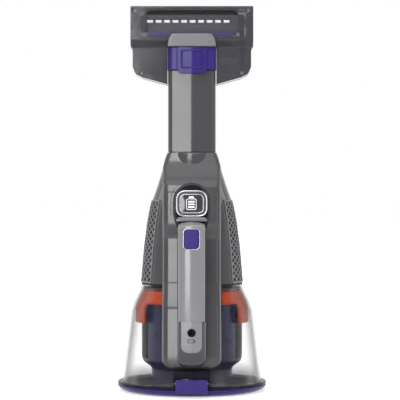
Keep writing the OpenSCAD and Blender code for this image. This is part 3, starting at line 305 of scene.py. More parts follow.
see_through("clear_bowl", 0.07, 0.92, 3.2, smoke=(0.011, 0.036, 0.42))
see_through("window_clear", 0.10, 0.6)
see_through("smoke_clear", 0.66, 0.92)
see_through("smoke_dark", 0.72, 0.95)
print("finishes:", len(FINISH))


# %% [markdown]
# ## Shapes that the pieces share
# A product like this is mostly made from four kinds of form: turned parts (bowl, lid, filter), plates with
# a rounded edge (buttons, panels), sections that change along a line (spine, nozzle, grip), and plain CAD
# solids whose sharp edges only need the small radius that a mould leaves. Each gets a helper that returns
# a bmesh, and `piece` turns the bmesh into an object that rides on a body.

# %% Outlines with round corners
def filleted(points, radius=1.0, steps=6, closed=True):
    """Rounds the corners of an outline; a third number on a point is that corner's own radius."""
    outline = []
    count = len(points)
    for i, point in enumerate(points):
        here = Vector(point[:2])
        size = point[2] if len(point) > 2 else radius
        if size <= 0 or (not closed and i in (0, count - 1)):
            outline.append(here)
            continue
        before, after = Vector(points[i - 1][:2]), Vector(points[(i + 1) % count][:2])
        back, ahead = before - here, after - here
        half_angle = back.angle(ahead) / 2
        if half_angle > math.radians(88.5):
            outline.append(here)
            continue
        reach = min(size / math.tan(half_angle), 0.49 * back.length, 0.49 * ahead.length)
        start, end = here + back.normalized() * reach, here + ahead.normalized() * reach
        for k in range(steps + 1):
            t = k / steps
            outline.append((1 - t) ** 2 * start + 2 * t * (1 - t) * here + t * t * end)
    return outline


def rectangle(width, height, middle=(0.0, 0.0), radius=3.0, steps=8):
    """A rectangle with round corners, as an x and z outline."""
    w, h = width / 2, height / 2
    x, z = middle
    return filleted([(x - w, z - h), (x + w, z - h), (x + w, z + h), (x - w, z + h)], radius, steps)


def anticlockwise(outline):
    area = sum(a.x * b.y - b.x * a.y for a, b in zip(outline, outline[1:] + outline[:1]))
    return list(outline) if area > 0 else list(reversed(outline))


def shrunk(outline, by):
    """The outline moved inwards along its own normals."""
    moved = []
    for i, point in enumerate(outline):
        along = outline[(i + 1) % len(outline)] - outline[i - 1]
        if along.length < 1e-9:
            along = outline[(i + 2) % len(outline)] - outline[i - 2]
        moved.append(point + Vector((-along.y, along.x)).normalized() * by)
    return moved


def rounding(height, rise, depth):
    """How far a rounded end stands back: depth at its very end, and nothing from rise upwards."""
    up = min(1.0, max(0.0, height / rise)) if rise else 1.0
    return depth * (1 - math.sqrt(1 - (1 - up) ** 2))


def rising(start, rise, steps):
    """Heights that follow a quarter circle, closest together at the start."""
    return [start + rise * (1 - math.cos(0.5 * math.pi * k / steps)) for k in range(steps + 1)]


# %% Skins between rings
def loft(rings, closed_along=False):
    """Joins rings of [x, y, z] points, in millimetres, into one skin, and caps its ends unless it closes."""
    bm = bmesh.new()
    made = [[bm.verts.new(Vector(p) * MM) for p in ring] for ring in rings]
    count = len(made[0])
    for low, high in zip(made, made[1:] + made[:1] if closed_along else made[1:]):
        for i in range(count):
            j = (i + 1) % count
            bm.faces.new((low[i], low[j], high[j], high[i]))
    for ring in () if closed_along else (made[0], made[-1]):
        centre = bm.verts.new(sum((v.co for v in ring), Vector()) / count)
        for i in range(count):
            bm.faces.new((ring[i], ring[(i + 1) % count], centre))
    return bm


def edge_steps(edge, steps=4):
    """(inset, depth) pairs that round a front edge."""
    turns = [0.5 * math.pi * k / steps for k in range(steps + 1)]
    return [(edge * (1 - math.sin(a)), edge * (1 - math.cos(a))) for a in turns]


def slab(outline, front, back, edge=0.8, crown=0.0):
    """A plate with a rounded front edge: x and z from the outline, y from front to back.
    crown lifts its middle."""
    outline = anticlockwise(outline)
    centre = sum(outline, Vector((0.0, 0.0))) / len(outline)
    face = shrunk(outline, edge)

    def ring(points, y, share=1.0):
        return [(p.x, y - crown * (1 - share ** 2), p.y) for p in points]

    rings = [ring([centre + (p - centre) * share for p in face], front, share)
             for share in (0.02, 0.25, 0.5, 0.75, 0.9)]
    rings += [ring(shrunk(outline, inset), front + depth) for inset, depth in edge_steps(edge)]
    return loft(rings + [ring(outline, back)])


def frame_ring(outline, width, front, back, edge=0.5):
    """A flat ring with rounded front edges, its outer edge on the outline."""
    outline = anticlockwise(outline)
    outer = edge_steps(edge, 3)
    rings = [[(p.x, back, p.y) for p in outline]]
    rings += [[(p.x, front + depth, p.y) for p in shrunk(outline, inset)] for inset, depth in reversed(outer)]
    rings += [[(p.x, front + depth, p.y) for p in shrunk(outline, width - inset)] for inset, depth in outer]
    rings.append([(p.x, back, p.y) for p in shrunk(outline, width)])
    return loft(rings, closed_along=True)


# %% Turned parts
def turned(profile, segments=144, start=0.0, sweep=360.0, axis="Z", centre=(0.0, 0.0, 0.0)):
    """A closed [radius, height] profile turned about an axis through centre."""
    profile = [(max(0.0, r), h) for r, h in profile]
    whole = sweep >= 360
    count = segments if whole else max(2, int(segments * sweep / 360)) + 1
    rings = []
    for i in range(count):
        a = math.radians(start + sweep * i / (count if whole else count - 1))
        c, s = math.cos(a), math.sin(a)
        if axis == "Z":
            ring = [(r * c, r * s, h) for r, h in profile]
        elif axis == "Y":
            ring = [(r * c, h, r * s) for r, h in profile]
        else:
            ring = [(h, r * c, r * s) for r, h in profile]
        rings.append([Vector(p) + Vector(centre) for p in ring])
    return loft(rings, closed_along=whole)


# %% Pieces on bodies
PIECES = {}


SMOOTH_UP_TO = 32.0


def shaded(mesh, smooth=SMOOTH_UP_TO):
    """Smooth faces, with an edge kept sharp where it turns by more than smooth degrees."""
    mesh.polygons.foreach_set("use_smooth", [True] * len(mesh.polygons))
    mesh.set_sharp_from_angle(angle=math.radians(smooth))


def in_scene(name, mesh):
    obj = bpy.data.objects.new(name, mesh)
    bpy.context.scene.collection.objects.link(obj)
    return obj


def mesh_of(bm, name):
    """Turns a bmesh into a mesh, and frees it."""
    mesh = bpy.data.meshes.new(name)
    bm.to_mesh(mesh)
    bm.free()
    return mesh


def piece(name, bm, beside, slot, stands_for=(), smooth=SMOOTH_UP_TO, even=True):
    """Makes an object that rides on the body of the node beside it."""
    bmesh.ops.remove_doubles(bm, verts=bm.verts, dist=1e-6)
    bmesh.ops.recalc_face_normals(bm, faces=bm.faces)
    mesh = mesh_of(bm, name)
    shaded(mesh, smooth)
    obj = in_scene(name, mesh)
    obj.data.materials.append(FINISH[slot])
    if even:
        obj.modifiers.new("even shading", "WEIGHTED_NORMAL").keep_sharp = True
    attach(obj, body_of(beside))
    if stands_for:
        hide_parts(*stands_for)
    PIECES[name] = obj
    return obj


MERGE, FLAT, SHARP = 2e-6, math.radians(1.0), math.radians(34.0)


def softened(cad_node, slot, width=0.4, steps=2):
    """The CAD solid again, with its sharp edges rounded as a mould rounds them. Its triangles are joined
    into flat faces first, in a way that keeps the holes in a face."""
    bm = bmesh.new()
    bm.from_mesh(NODES[cad_node].data)
    bmesh.ops.remove_doubles(bm, verts=bm.verts, dist=MERGE)
    bmesh.ops.join_triangles(bm, faces=bm.faces, angle_face_threshold=FLAT, angle_shape_threshold=math.pi)
    sharp = [e for e in bm.edges if len(e.link_faces) == 2 and e.calc_face_angle(0.0) > SHARP]
    bmesh.ops.bevel(bm, geom=sharp, offset=width * MM, segments=steps, profile=0.5, affect="EDGES",
                    clamp_overlap=False)
    return piece(cad_node + "_moulded", bm, cad_node, slot, [cad_node])


def cut(obj, cutter_bm):
    """Takes the cutter's shape out of a piece."""
    bmesh.ops.recalc_face_normals(cutter_bm, faces=cutter_bm.faces)
    cutter = in_scene("cutter", mesh_of(cutter_bm, "cutter"))
    modifier = obj.modifiers.new("cut", "BOOLEAN")
    modifier.operation, modifier.object, modifier.solver = "DIFFERENCE", cutter, "EXACT"
    others = [m for m in obj.modifiers if m != modifier]
    for m in others:
        m.show_viewport = False
    bpy.context.view_layer.update()
    result = bpy.data.meshes.new_from_object(obj.evaluated_get(bpy.context.evaluated_depsgraph_get()))
    obj.modifiers.remove(modifier)
    for m in others:
        m.show_viewport = True
    obj.data = result
    shaded(result)
    bpy.data.objects.remove(cutter)
    return obj


# %% Lines measured from the frame
SLOT = {part["node"]: part["material_slot"] for part in frame["record"]["subparts"]}


def outer_line(cad_node, least=10):
    """(radius, height) of a turned CAD node, at each height where a whole row of its points stands."""
    rows = {}
    for v in NODES[cad_node].data.vertices:
        rows.setdefault(round(v.co.z / MM, 1), []).append(math.hypot(v.co.x, v.co.y) / MM)
    return [(max(radii), z) for z, radii in sorted(rows.items())
            if sum(r > max(radii) - 0.05 for r in radii) >= least]


def looked_up(line, z):
    """The first number of a (value, height) line at a height."""
    if z <= line[0][1]:
        return line[0][0]
    for (v0, z0), (v1, z1) in zip(line, line[1:]):
        if z <= z1:
            return v0 + (v1 - v0) * (z - z0) / (z1 - z0)
    return line[-1][0]


def eased(line, z, reach=5.0):
    """The same, averaged over a short stretch, which turns the line's corners into curves."""
    reach = max(0.01, min(reach, z - line[0][1], line[-1][1] - z))
    return sum(looked_up(line, z + reach * k / 4) for k in range(-4, 5)) / 9


def envelope(line, dip=0.4):
    """Drops the points that lie inside the chord of their neighbours, which are the wall's inner side."""
    line = list(line)
    while True:
        dips = []
        for i in range(1, len(line) - 1):
            (r0, z0), (r, z), (r1, z1) = line[i - 1:i + 2]
            dips.append((r0 + (r1 - r0) * (z - z0) / (z1 - z0) - r, i))
        worst, i = max(dips)
        if worst < dip:
            return line
        line.pop(i)


BODY_LINE = envelope(outer_line("rear_shell"))
print("body line:", [(round(r, 1), z) for r, z in BODY_LINE])


# %% [markdown]
# ## The body
# The body is a tapering turned shell in two halves. On its front lies the spine, a raised rib that runs
# from the nozzle down over the clear bowl and carries the display and the handle. Turning gives the shell.
# The spine is a loft: one section per height, each with its own width, front line and back line.
# The real tool is bright on the left of a hard line and dark on its right. Here a very slight crease along
# the middle of the front does that: its two sides catch different light.

# %% Turned shell halves
SHELL_WALL = 2.4
CREASE = 0.075


def body_r(z):
    return eased(BODY_LINE, z)


def shell_profile(z0, z1, rows=70, lip=0.8):
    """Outer line up, inner line down, with small lips at both ends."""
    heights = [z0 + (z1 - z0) * k / rows for k in range(rows + 1)]
    outer = [(body_r(z), z) for z in heights]
    outer[0], outer[-1] = (outer[0][0] - lip, z0), (outer[-1][0] - lip, z1)
    outer.insert(1, (body_r(z0), z0 + lip))
    outer.insert(-1, (body_r(z1), z1 - lip))
    return outer + [(body_r(z) - SHELL_WALL, z) for z in reversed(heights)]


shell_low, shell_high = span("rear_shell")[0].z, span("rear_shell")[1].z
halves = {}
for name, cad_node, start in (("body_front", "front_shell", 180.0), ("body_rear", "rear_shell", 0.0)):
    bm = turned(shell_profile(shell_low, shell_high), 160, start + 0.1, 179.8)
    halves[name] = piece(name, bm, cad_node, SLOT[cad_node], [cad_node])
NECK_Z = 247.0
SCREW_HOLE_R = 3.2
for x, z in ((33.0, 232.0), (49.0, 133.0)):
    for side in (-1, 1):
        back = math.sqrt(body_r(z) ** 2 - x ** 2)
        hole = [(0, back - 5), (SCREW_HOLE_R, back - 5), (SCREW_HOLE_R, back + 12), (0, back + 12)]
        cut(halves["body_rear"], turned(hole, 32, axis="Y", centre=(side * x, 0, z)))


# %% The spine
SPINE_LINE = [(-85, 31.3), (-85, 45), (-83, 70), (-79, 98), (-73, 112), (-63.5, 128), (-56.5, 179.5),
              (-61, 191.5), (-61, 229), (-57, 239), (-44, 251), (-32, 264), (-24, 277)]
SPINE_HALF, FOOT_RISE = 33.5, 12.0
BOWL_LINE = [(81, 11.5), (71, 92), (67, 104), (60.5, 117), (59, 121), (59, 124)]
spine_foot = span("front_shell")[0].z


def spine_front(z):
    """Front line of the spine, rounded back at its foot."""
    return eased(SPINE_LINE, z, 4.0) + rounding(z - spine_foot, 6.0, 6.0)


def spine_half(z):
    """Half width: round corners at the foot, and the neck's own width at the top."""
    half = SPINE_HALF if z < NECK_Z - 6 else min(SPINE_HALF, body_r(z))
    return half - rounding(z - spine_foot, FOOT_RISE, FOOT_RISE)


def spine_back(x, z):
    """Just outside the bowl, and hidden inside the shell above it."""
    if z < shell_low - 0.5:
        r = looked_up(BOWL_LINE, z) + 0.15
    else:
        r = body_r(z) - 1.2
    return -math.sqrt(max(1.0, r * r - x * x))


def creased_front(half, front, corner, rows=10):
    """(x, y) points across a front, from left to right: a corner, the creased face, a corner."""
    flat = half - corner
    turns = [0.5 * math.pi * k / 8 for k in range(9)]
    points = [(-half + corner * (1 - math.cos(a)), front + CREASE * flat + corner * (1 - math.sin(a)))
              for a in turns]
    points += [(-flat + flat * k / rows, front + CREASE * (flat - flat * k / rows))
               for k in range(1, rows + 1)]
    return points + [(-x, y) for x, y in reversed(points[:-1])]


def creased_block(half, low, high, radius, front, back, corner=0.6, top_radius=0.0):
    """A block from low to high with a creased front, a round foot and, if asked, a round top."""
    top = [low + high - z for z in rising(low, top_radius, 10)] if top_radius else [high]
    rings = []
    for z in rising(low, radius, 10) + top[::-1]:
        here = half - rounding(z - low, radius, radius) - rounding(high - z, top_radius, top_radius)
        ring = [(x, y, z) for x, y in creased_front(here, front, min(corner, here / 2))]
        rings.append(ring + [(x, back, z) for x in (here, 0, -here)])
    return loft(rings)


def spine_ring(z):
    half, front = spine_half(z), spine_front(z)
    corner = 7.5 if z < NECK_Z else 7.5 - 2.0 * (z - NECK_Z) / (shell_high - NECK_Z)
    ring = [(x, y, z) for x, y in creased_front(half, front, min(corner, half / 2))]
    backs = [half * (1 - 2 * k / 12) for k in range(13)]
    return ring + [(x, max(spine_back(x, z), front + 1.0 + CREASE * half), z) for x in backs]


def levels(start, rise, steps, end):
    """Heights for a loft: a rounded foot, then one every 2 mm up to the end."""
    straight = [start + rise + 2.0 * k for k in range(1, int((end - start) / 2))]
    return rising(start, rise, steps) + [z for z in straight if z < end]


spine_rows = levels(spine_foot, FOOT_RISE, 12, shell_high - 1) + [shell_high - 0.2]
spine = piece("spine", loft([spine_ring(z) for z in spine_rows]), "front_shell", SLOT["front_shell"])


# %% [markdown]
# ## The display recess
# Around the display the spine is sunk in an arch with three steps. Sinking it is a job for boolean cuts:
# each step is the same arch drawn a little smaller and cut a little deeper.

# %% Pieces in a second finish
def printed(name, bm, beside, finish="lit_symbol"):
    """A lining or a symbol has its own finish, and rides on the body of the piece that it stands on."""
    made = piece(name, bm, beside, SLOT[beside])
    made.data.materials[0] = FINISH[finish]
    return made


# %% Cut the steps
display_low, display_high = span("display_bezel")
display_mid = ((display_low.x + display_high.x) / 2, (display_low.z + display_high.z) / 2)
FLOOR_Y = display_high.y
ARCH_HALF, ARCH_TOP, ARCH_FOOT = 23.8, 244.5, 185.5


def arch(inset):
    """Front outline of the recess: an arch whose foot narrows to the handle."""
    r = ARCH_HALF - inset
    middle = ARCH_TOP - ARCH_HALF
    top = [Vector((r * math.cos(a), middle + r * math.sin(a))) for a in (math.pi * k / 40 for k in range(41))]
    foot = filleted([(-r, middle), (-r, ARCH_FOOT + 20, 6), (-r + 5, ARCH_FOOT + inset, 3),
                     (r - 5, ARCH_FOOT + inset, 3), (r, ARCH_FOOT + 20, 6), (r, middle)], 3, 5, closed=False)
    return top + foot[1:-1]


def prism(outline, front, back):
    return loft([[(p.x, front, p.y) for p in outline], [(p.x, back, p.y) for p in outline]])


for inset, depth in ((0.0, 1.5), (2.6, 2.8), (5.2, 4.0)):
    cut(spine, prism(arch(inset), FLOOR_Y - 4.0 - 20, FLOOR_Y - 4.0 + depth))
printed("recess_floor", slab(arch(5.35), FLOOR_Y - 0.12, FLOOR_Y + 0.6, 0.1), "front_shell", "black_plastic")
printed("recess_step", frame_ring(arch(2.7), 2.55, FLOOR_Y - 1.32, FLOOR_Y - 1.1, 0.08), "front_shell",
        "soft_grip")


def draped(bm, lift=0.0):
    """Lays a flat front shape on the spine's own front."""
    for v in bm.verts:
        v.co.y += (spine_front(v.co.z / MM) - lift) * MM + CREASE * abs(v.co.x)
    return bm


piece("recess_rim", draped(frame_ring(arch(-0.35), 0.7, 0.0, 1.2, 0.3), 0.12), "front_shell",
      SLOT["front_shell"])
print("spine:", len(spine.data.polygons), "faces after the cuts")

# %% [markdown]
# ## The display
# A chrome ring holds a dark glossy lens. Behind the lens a battery symbol with three bars glows white when
# the tool is charged. The symbol is generic, and it is thin raised geometry rather than a texture.

# %% Ring, lens and battery symbol
width, height = display_high.x - display_low.x, display_high.z - display_low.z
ring_outline = rectangle(width, height, display_mid, 11.5, 12)
piece("display_ring", frame_ring(ring_outline, 2.1, display_low.y, FLOOR_Y + 0.2, 0.9), "display_bezel",
      "chrome_trim", ["display_bezel"])
bands = anticlockwise(ring_outline)
piece("display_ring_inner", frame_ring(shrunk(bands, 4.3), 1.1, display_low.y + 0.25, FLOOR_Y + 0.2, 0.4),
      "display_bezel", "chrome_trim")
printed("display_ring_groove", frame_ring(shrunk(bands, 2.0), 2.4, display_low.y + 0.8, FLOOR_Y + 0.2, 0.2),
        "display_bezel", "gunmetal_plastic")
lens_outline = rectangle(width - 10.6, height - 7.0, (display_mid[0], display_mid[1] - 0.6), 6.5, 12)
lens_front = display_low.y + 0.6
lens = slab(lens_outline, lens_front, lens_front + 2.2, 0.5, crown=0.3)
piece("display_lens_crowned", lens, "display_lens", "display_glass", ["display_lens"])
symbol_y = lens_front - 0.42
x, z = symbol = (display_mid[0] - 0.4, display_mid[1] - 0.6)
moulded("lit_symbol", "#f4f4f6", rough=0.4, rub=0.0, dust=0.0, grain=0.0, glow=0.55)
case = rectangle(11.4, 12.6, symbol, 2.4)
printed("symbol_case", frame_ring(case, 0.6, symbol_y, symbol_y + 0.5, 0.1), "display_lens")
lit = {f"symbol_bar_{k + 1}": rectangle(7.2, 1.7, (x, z - 0.2 + k * 3.1), 0.3) for k in (-1, 0, 1)}
cap = ((-3.6, 7.0), (3.6, 7.0), (2.0, 8.9), (-2.0, 8.9))
lit["symbol_cap"] = filleted([(x + right, z + up) for right, up in cap], 0.5)
for name, outline in lit.items():
    printed(name, slab(outline, symbol_y, symbol_y + 0.5, 0.1), "display_lens")

# %% [markdown]
# ## The crossbar
# A polished bar closes the display at the bottom and roots the handle. It is a rounded plate with an edge
# nearly as large as half its height, and two small round ears.

# %% Bar and ears
bar_low, bar_high = span("crossbar")
bar_height = bar_high.z - bar_low.z
bar_half = span("handle_inner")[1].x
bar_mid = (0.0, (bar_low.z + bar_high.z) / 2)
bar = rectangle(2 * bar_half, bar_height, bar_mid, 1.6)
piece("crossbar_polished", slab(bar, bar_low.y, bar_high.y, 1.3), "crossbar", "silver_plastic", ["crossbar"])
SIDES = {"left": -1, "right": 1}
EAR_R = 1.6
ear = [(0, bar_low.y + 3), (1.2, bar_low.y + 3.2), (EAR_R, bar_low.y + 4), (EAR_R, FLOOR_Y), (0, FLOOR_Y)]
for word, side in SIDES.items():
    at = (side * (bar_half + 0.3), 0, bar_low.z + EAR_R)
    piece(f"crossbar_ear_{word}", turned(ear, 32, axis="Y", centre=at), "crossbar", "silver_plastic")

# %% [markdown]
# ## The nozzle
# The nozzle is an air tube with a flat, creased front and a round back. Both its skins come from one
# section function, so that the wall stays even. A thin sleeve at its end takes the brush head.

# %% Tube sections
def tube_section(half, front, corner):
    """Closed (x, y) section: creased front, round back."""
    ring = creased_front(half, -front, corner)
    return ring + [(half * math.cos(a), half * math.sin(a)) for a in (math.pi * k / 40 for k in range(41))]


def tube(outer, inner, z0, z1, lip=0.5):
    """A wall between two (half, front, corner) sections, with rounded ends."""
    def ring(shape, z, inset=0.0):
        half, front, corner = shape
        return [(x, y, z) for x, y in tube_section(half - inset, front - inset, corner - inset)]
    rings = [ring(outer, z0, lip), ring(outer, z0 + lip)]
    rings += [ring(outer, z0 + (z1 - z0) * k / 12) for k in range(1, 12)]
    rings += [ring(outer, z1 - lip), ring(outer, z1, lip), ring(inner, z1), ring(inner, z0)]
    return loft(rings, closed_along=True)


nozzle_low, nozzle_high = span("nozzle_tube")
collar_low = span("release_collar")[0].z
NOZZLE_HALF, NOZZLE_FRONT = nozzle_high.x, -nozzle_low.y
skin = (NOZZLE_HALF, NOZZLE_FRONT, 5.5)
skin_inner = (NOZZLE_HALF - 2.2, NOZZLE_FRONT - 2.2, 4)
sleeve = (NOZZLE_HALF - 4, NOZZLE_FRONT - 3.6, 4.5)
sleeve_inner = (NOZZLE_HALF - 6.2, NOZZLE_FRONT - 5.8, 3.5)
for name, outside, inside, foot_z, top_z, stands_for in (
        ("nozzle", skin, skin_inner, shell_high + 0.4, collar_low - 0.3, ["nozzle_tube"]),
        ("nozzle_sleeve", sleeve, sleeve_inner, collar_low - 2.3, nozzle_high.z, ()),
        ("nozzle_root", sleeve, sleeve_inner, nozzle_low.z, shell_high + 1, ())):
    piece(name, tube(outside, inside, foot_z, top_z), "nozzle_tube", SLOT["nozzle_tube"], stands_for)
print("nozzle:", round(nozzle_high.z - shell_high), "mm long")


# %% [markdown]
# ## Side grilles
# The motor's air leaves through a grille on each side: crossed diagonal ribs over a dark backing, in a thin
# frame. The ribs are swept along lines drawn on the body's own surface, so that they follow its taper.

# %% Ribs on the body's surface
grille_low, grille_high = span("side_grille_right")
GRILLE_FRONT, GRILLE_REAR = -37.0, 21.0


def on_body(azimuth, z, out, side):
    r = body_r(z) + out
    a = math.radians(azimuth)
    return Vector((side * r * math.cos(a), r * math.sin(a), z))


def rib(line, width, low, high, side):
    """A bar along (azimuth, z) points on the body, from low to high above its surface."""
    rings = []
    for i, (azimuth, z) in enumerate(line):
        ahead = on_body(*line[min(i + 1, len(line) - 1)], 0, side) - on_body(*line[max(i - 1, 0)], 0, side)
        out = (on_body(azimuth, z, 1, side) - on_body(azimuth, z, 0, side)).normalized()
        across = ahead.cross(out).normalized() * width / 2
        base = on_body(azimuth, z, 0, side)
        rings.append([base - across + out * low, base - across * 0.7 + out * high,
                      base + across * 0.7 + out * high, base + across + out * low])
    return loft(rings)


def merged(parts):
    """Several bmeshes in one."""
    whole = bmesh.new()
    for part in parts:
        mesh = bpy.data.meshes.new("part")
        part.to_mesh(mesh)
        part.free()
        whole.from_mesh(mesh)
        bpy.data.meshes.remove(mesh)
    return whole


def lattice(side, pitch=7.2, climb=38.0):
    """Both families of diagonal ribs, clipped to the grille."""
    z0, z1 = grille_low.z + 1.5, grille_high.z - 1.5
    bars = []
    for direction in (-1, 1):
        start = z0 - climb
        while start < z1:
            shares = [k / 24 for k in range(25)]
            turns = [share if direction > 0 else 1 - share for share in shares]
            line = [(GRILLE_FRONT + 1 + (GRILLE_REAR - GRILLE_FRONT - 2) * turn, start + climb * share)
                    for turn, share in zip(turns, shares) if z0 <= start + climb * share <= z1]
            if len(line) > 2:
                bars.append(rib(line, 1.7, -0.2, 0.85, side))
            start += pitch
    return bars


def grille_border(side):
    z0, z1 = grille_low.z + 0.8, grille_high.z - 0.8
    steps = [k / 30 for k in range(31)]
    lines = [[(azimuth, z0 + (z1 - z0) * s) for s in steps] for azimuth in (GRILLE_FRONT, GRILLE_REAR)]
    lines += [[(GRILLE_FRONT + (GRILLE_REAR - GRILLE_FRONT) * s, z) for s in steps] for z in (z0, z1)]
    return [rib(line, 2.6, -0.3, 1.0, side) for line in lines]


azimuths = range(int(GRILLE_FRONT) + 1, int(GRILLE_REAR), 2)
heights = [grille_low.z + 1 + (grille_high.z - grille_low.z - 2) * k / 40 for k in range(41)]
for word, side in SIDES.items():
    cad_node = f"side_grille_{word}"
    piece(f"grille_{word}", merged(lattice(side) + grille_border(side)), cad_node, "grille_grey", [cad_node])
    rows = [[on_body(a, z, 0.12, side) for a in azimuths]
            + [on_body(a, z, -0.3, side) for a in reversed(azimuths)] for z in heights]
    piece(f"grille_backing_{word}", loft(rows), cad_node, "black_plastic")


# %% [markdown]
# ## The handle
# The grip is two mouldings: a silver outer half with a crowned face, and a dark inner half that the fingers
# close around. The outer half is a sweep. Its section keeps its width while its depth thins towards the
# crossbar, where the handle bends back to the body.

# %% Outer half of the grip
grip_low, grip_high = span("handle_grip")
GRIP_HALF = grip_high.x
GRIP_FRONT = grip_low.y
SEAM_DEPTH, ROOT_DEPTH = 10.4, 5.2


def grip_line():
    """The outer line as (y, z), from the foot up and back to the root."""
    corners = [(GRIP_FRONT, grip_low.z, 0), (GRIP_FRONT, grip_high.z, 14), (FLOOR_Y + 0.2, grip_high.z, 0)]
    line = filleted(corners, 0, 14, closed=False)
    straight = [Vector((GRIP_FRONT, grip_low.z + (line[1].y - grip_low.z) * k / 24)) for k in range(24)]
    return straight + line[1:]


def grip_ring(here, ahead, depth, half):
    inward = Vector((ahead.y, -ahead.x)).normalized()
    edge = min(6.5, depth * 0.7)
    ring = []
    for k in range(25):
        a = math.pi * k / 24
        x = -half * math.copysign(abs(math.cos(a)) ** 0.62, math.cos(a))
        d = edge * (1 - math.sin(a) ** 0.62) + CREASE * abs(x)
        ring.append((x, here.x + inward.x * d, here.y + inward.y * d))
    return ring + [(half * share, here.x + inward.x * depth, here.y + inward.y * depth)
                   for share in (1, 0.5, 0.0, -0.5, -1)]


def swept_grip():
    line = grip_line()
    rings = []
    for i, here in enumerate(line):
        ahead = line[min(i + 1, len(line) - 1)] - line[max(i - 1, 0)]
        turn = min(1.0, max(0.0, (here.x - GRIP_FRONT) / 12.0))
        rings.append(grip_ring(here, ahead, SEAM_DEPTH + (ROOT_DEPTH - SEAM_DEPTH) * turn, GRIP_HALF))
    return loft(rings)


grip = piece("grip_outer", swept_grip(), "handle_grip", "silver_plastic", ["handle_grip"])
button_low, button_high = span("power_button")
button_mid = (0.0, (button_low.z + button_high.z) / 2)
BUTTON_W, BUTTON_H = 16.6, 21.4
cut(grip, prism(rectangle(BUTTON_W + 0.7, BUTTON_H + 0.7, button_mid, 4.8), GRIP_FRONT - 5, GRIP_FRONT + 6))
softened("handle_inner", "soft_grip", 1.2, 3)

# %% Power button
cap = rectangle(BUTTON_W, BUTTON_H, button_mid, 4.6, 10)
piece("power_button_cap", slab(cap, button_low.y + 0.1, GRIP_FRONT + 4.3, 1.1), "power_button",
      "purple_plastic", ["power_button"])
button_rim = rectangle(BUTTON_W + 2.4, BUTTON_H + 2.4, button_mid, 5.6, 10)
piece("power_button_rim", frame_ring(button_rim, 0.9, GRIP_FRONT - 0.25, GRIP_FRONT + 2, 0.3), "handle_grip",
      "chrome_trim")

# %% [markdown]
# ## Handle foot, charge panel and socket
# The foot joins the handle to the spine again. It is a plate with a U-shaped outline whose front leans back
# towards the bottom. The silver panel in it holds the charging socket and a small battery symbol.

# %% Foot
foot_low, foot_high = span("handle_foot")
FOOT_CURVE = ((17, 0), (11.4, 1.2), (5.4, 6), (1.4, 12.6), (0, 20.6))
FOOT_LINE = [(foot_low.y + y, foot_low.z + z) for y, z in FOOT_CURVE] + [(foot_low.y, foot_high.z)]
U_RISE, U_CORNER, FOOT_BACK = 13.0, 11.0, -82.5


def foot_ring(z):
    """One level of the foot: the U shape's width there, with a round front."""
    half = foot_high.x - rounding(z - foot_low.z, U_RISE, U_CORNER)
    front = eased(FOOT_LINE, z, 3.0)
    ring = [(x, y, z) for x, y in creased_front(half, front, min(6.5, half * 0.6))]
    return ring + [(x, max(FOOT_BACK, front + 8), z) for x in (half, 0, -half)]


foot_rows = levels(foot_low.z, U_RISE, 14, foot_high.z - 1) + [foot_high.z - 0.1]
foot = piece("foot", loft([foot_ring(z) for z in foot_rows]), "handle_foot", "gunmetal_plastic",
             ["handle_foot"])
socket_low, socket_high = span("charge_socket")
socket_mid = Vector((0.0, 0.0, (socket_low.z + socket_high.z) / 2))
SOCKET_R, HOLE_R = (socket_high.x - socket_low.x) / 2, 2.75
hole = [(0, -120), (SOCKET_R - 0.02, -120), (SOCKET_R - 0.02, socket_high.y + 0.5), (0, socket_high.y + 0.5)]
cut(foot, turned(hole, 48, axis="Y", centre=socket_mid))

# %% Charge panel and its symbol
panel_low, panel_high = span("charge_panel")
plate = creased_block(panel_high.x, panel_low.z, panel_high.z, 7.5, panel_low.y - 0.2, panel_high.y)
panel = piece("panel_plate", plate, "charge_panel", "pale_plastic", ["charge_panel"])
cut(panel, turned(hole, 48, axis="Y", centre=socket_mid))
lip = filleted([(HOLE_R, socket_low.y - 0.3), (SOCKET_R, socket_low.y - 0.3), (SOCKET_R, socket_high.y),
                (0, socket_high.y), (0, socket_high.y - 2), (HOLE_R, socket_high.y - 2)], 0.25, 4)
piece("socket_lip", turned(lip, 64, axis="Y", centre=socket_mid), "charge_socket", "black_plastic",
      ["charge_socket"])
mark_y = panel_low.y - 0.5
x, z = mark = (-0.6, socket_mid.z - 9.2)
moulded("dark_print", "#1c1c1f", rough=0.45, rub=0.0, dust=0.0, grain=0.0)
printed("panel_symbol_case", frame_ring(rectangle(7.4, 4.0, mark, 0.4), 0.75, mark_y, mark_y + 0.4, 0.05),
        "charge_panel", "dark_print")
tip = filleted([(x + 3.7, z - 1.3), (x + 4.9, z - 0.6), (x + 4.9, z + 0.6), (x + 3.7, z + 1.3)], 0.2)
printed("panel_symbol_tip", slab(tip, mark_y, mark_y + 0.4, 0.05), "charge_panel", "dark_print")


# %% [markdown]
# ## Bowl and lid
# The dust bowl is one clear moulding with an even wall, so its profile is the outer line and the same line
# moved inwards. Both skins get denser where they are seen edge on, which is what draws the bowl's outline.
# Light isn't bent. A smoky flange closes the foot.

# %% Clear bowl
bowl_low, bowl_high = span("dust_bowl")
FLANGE_R = bowl_high.x
BOWL_WALL = 2.4


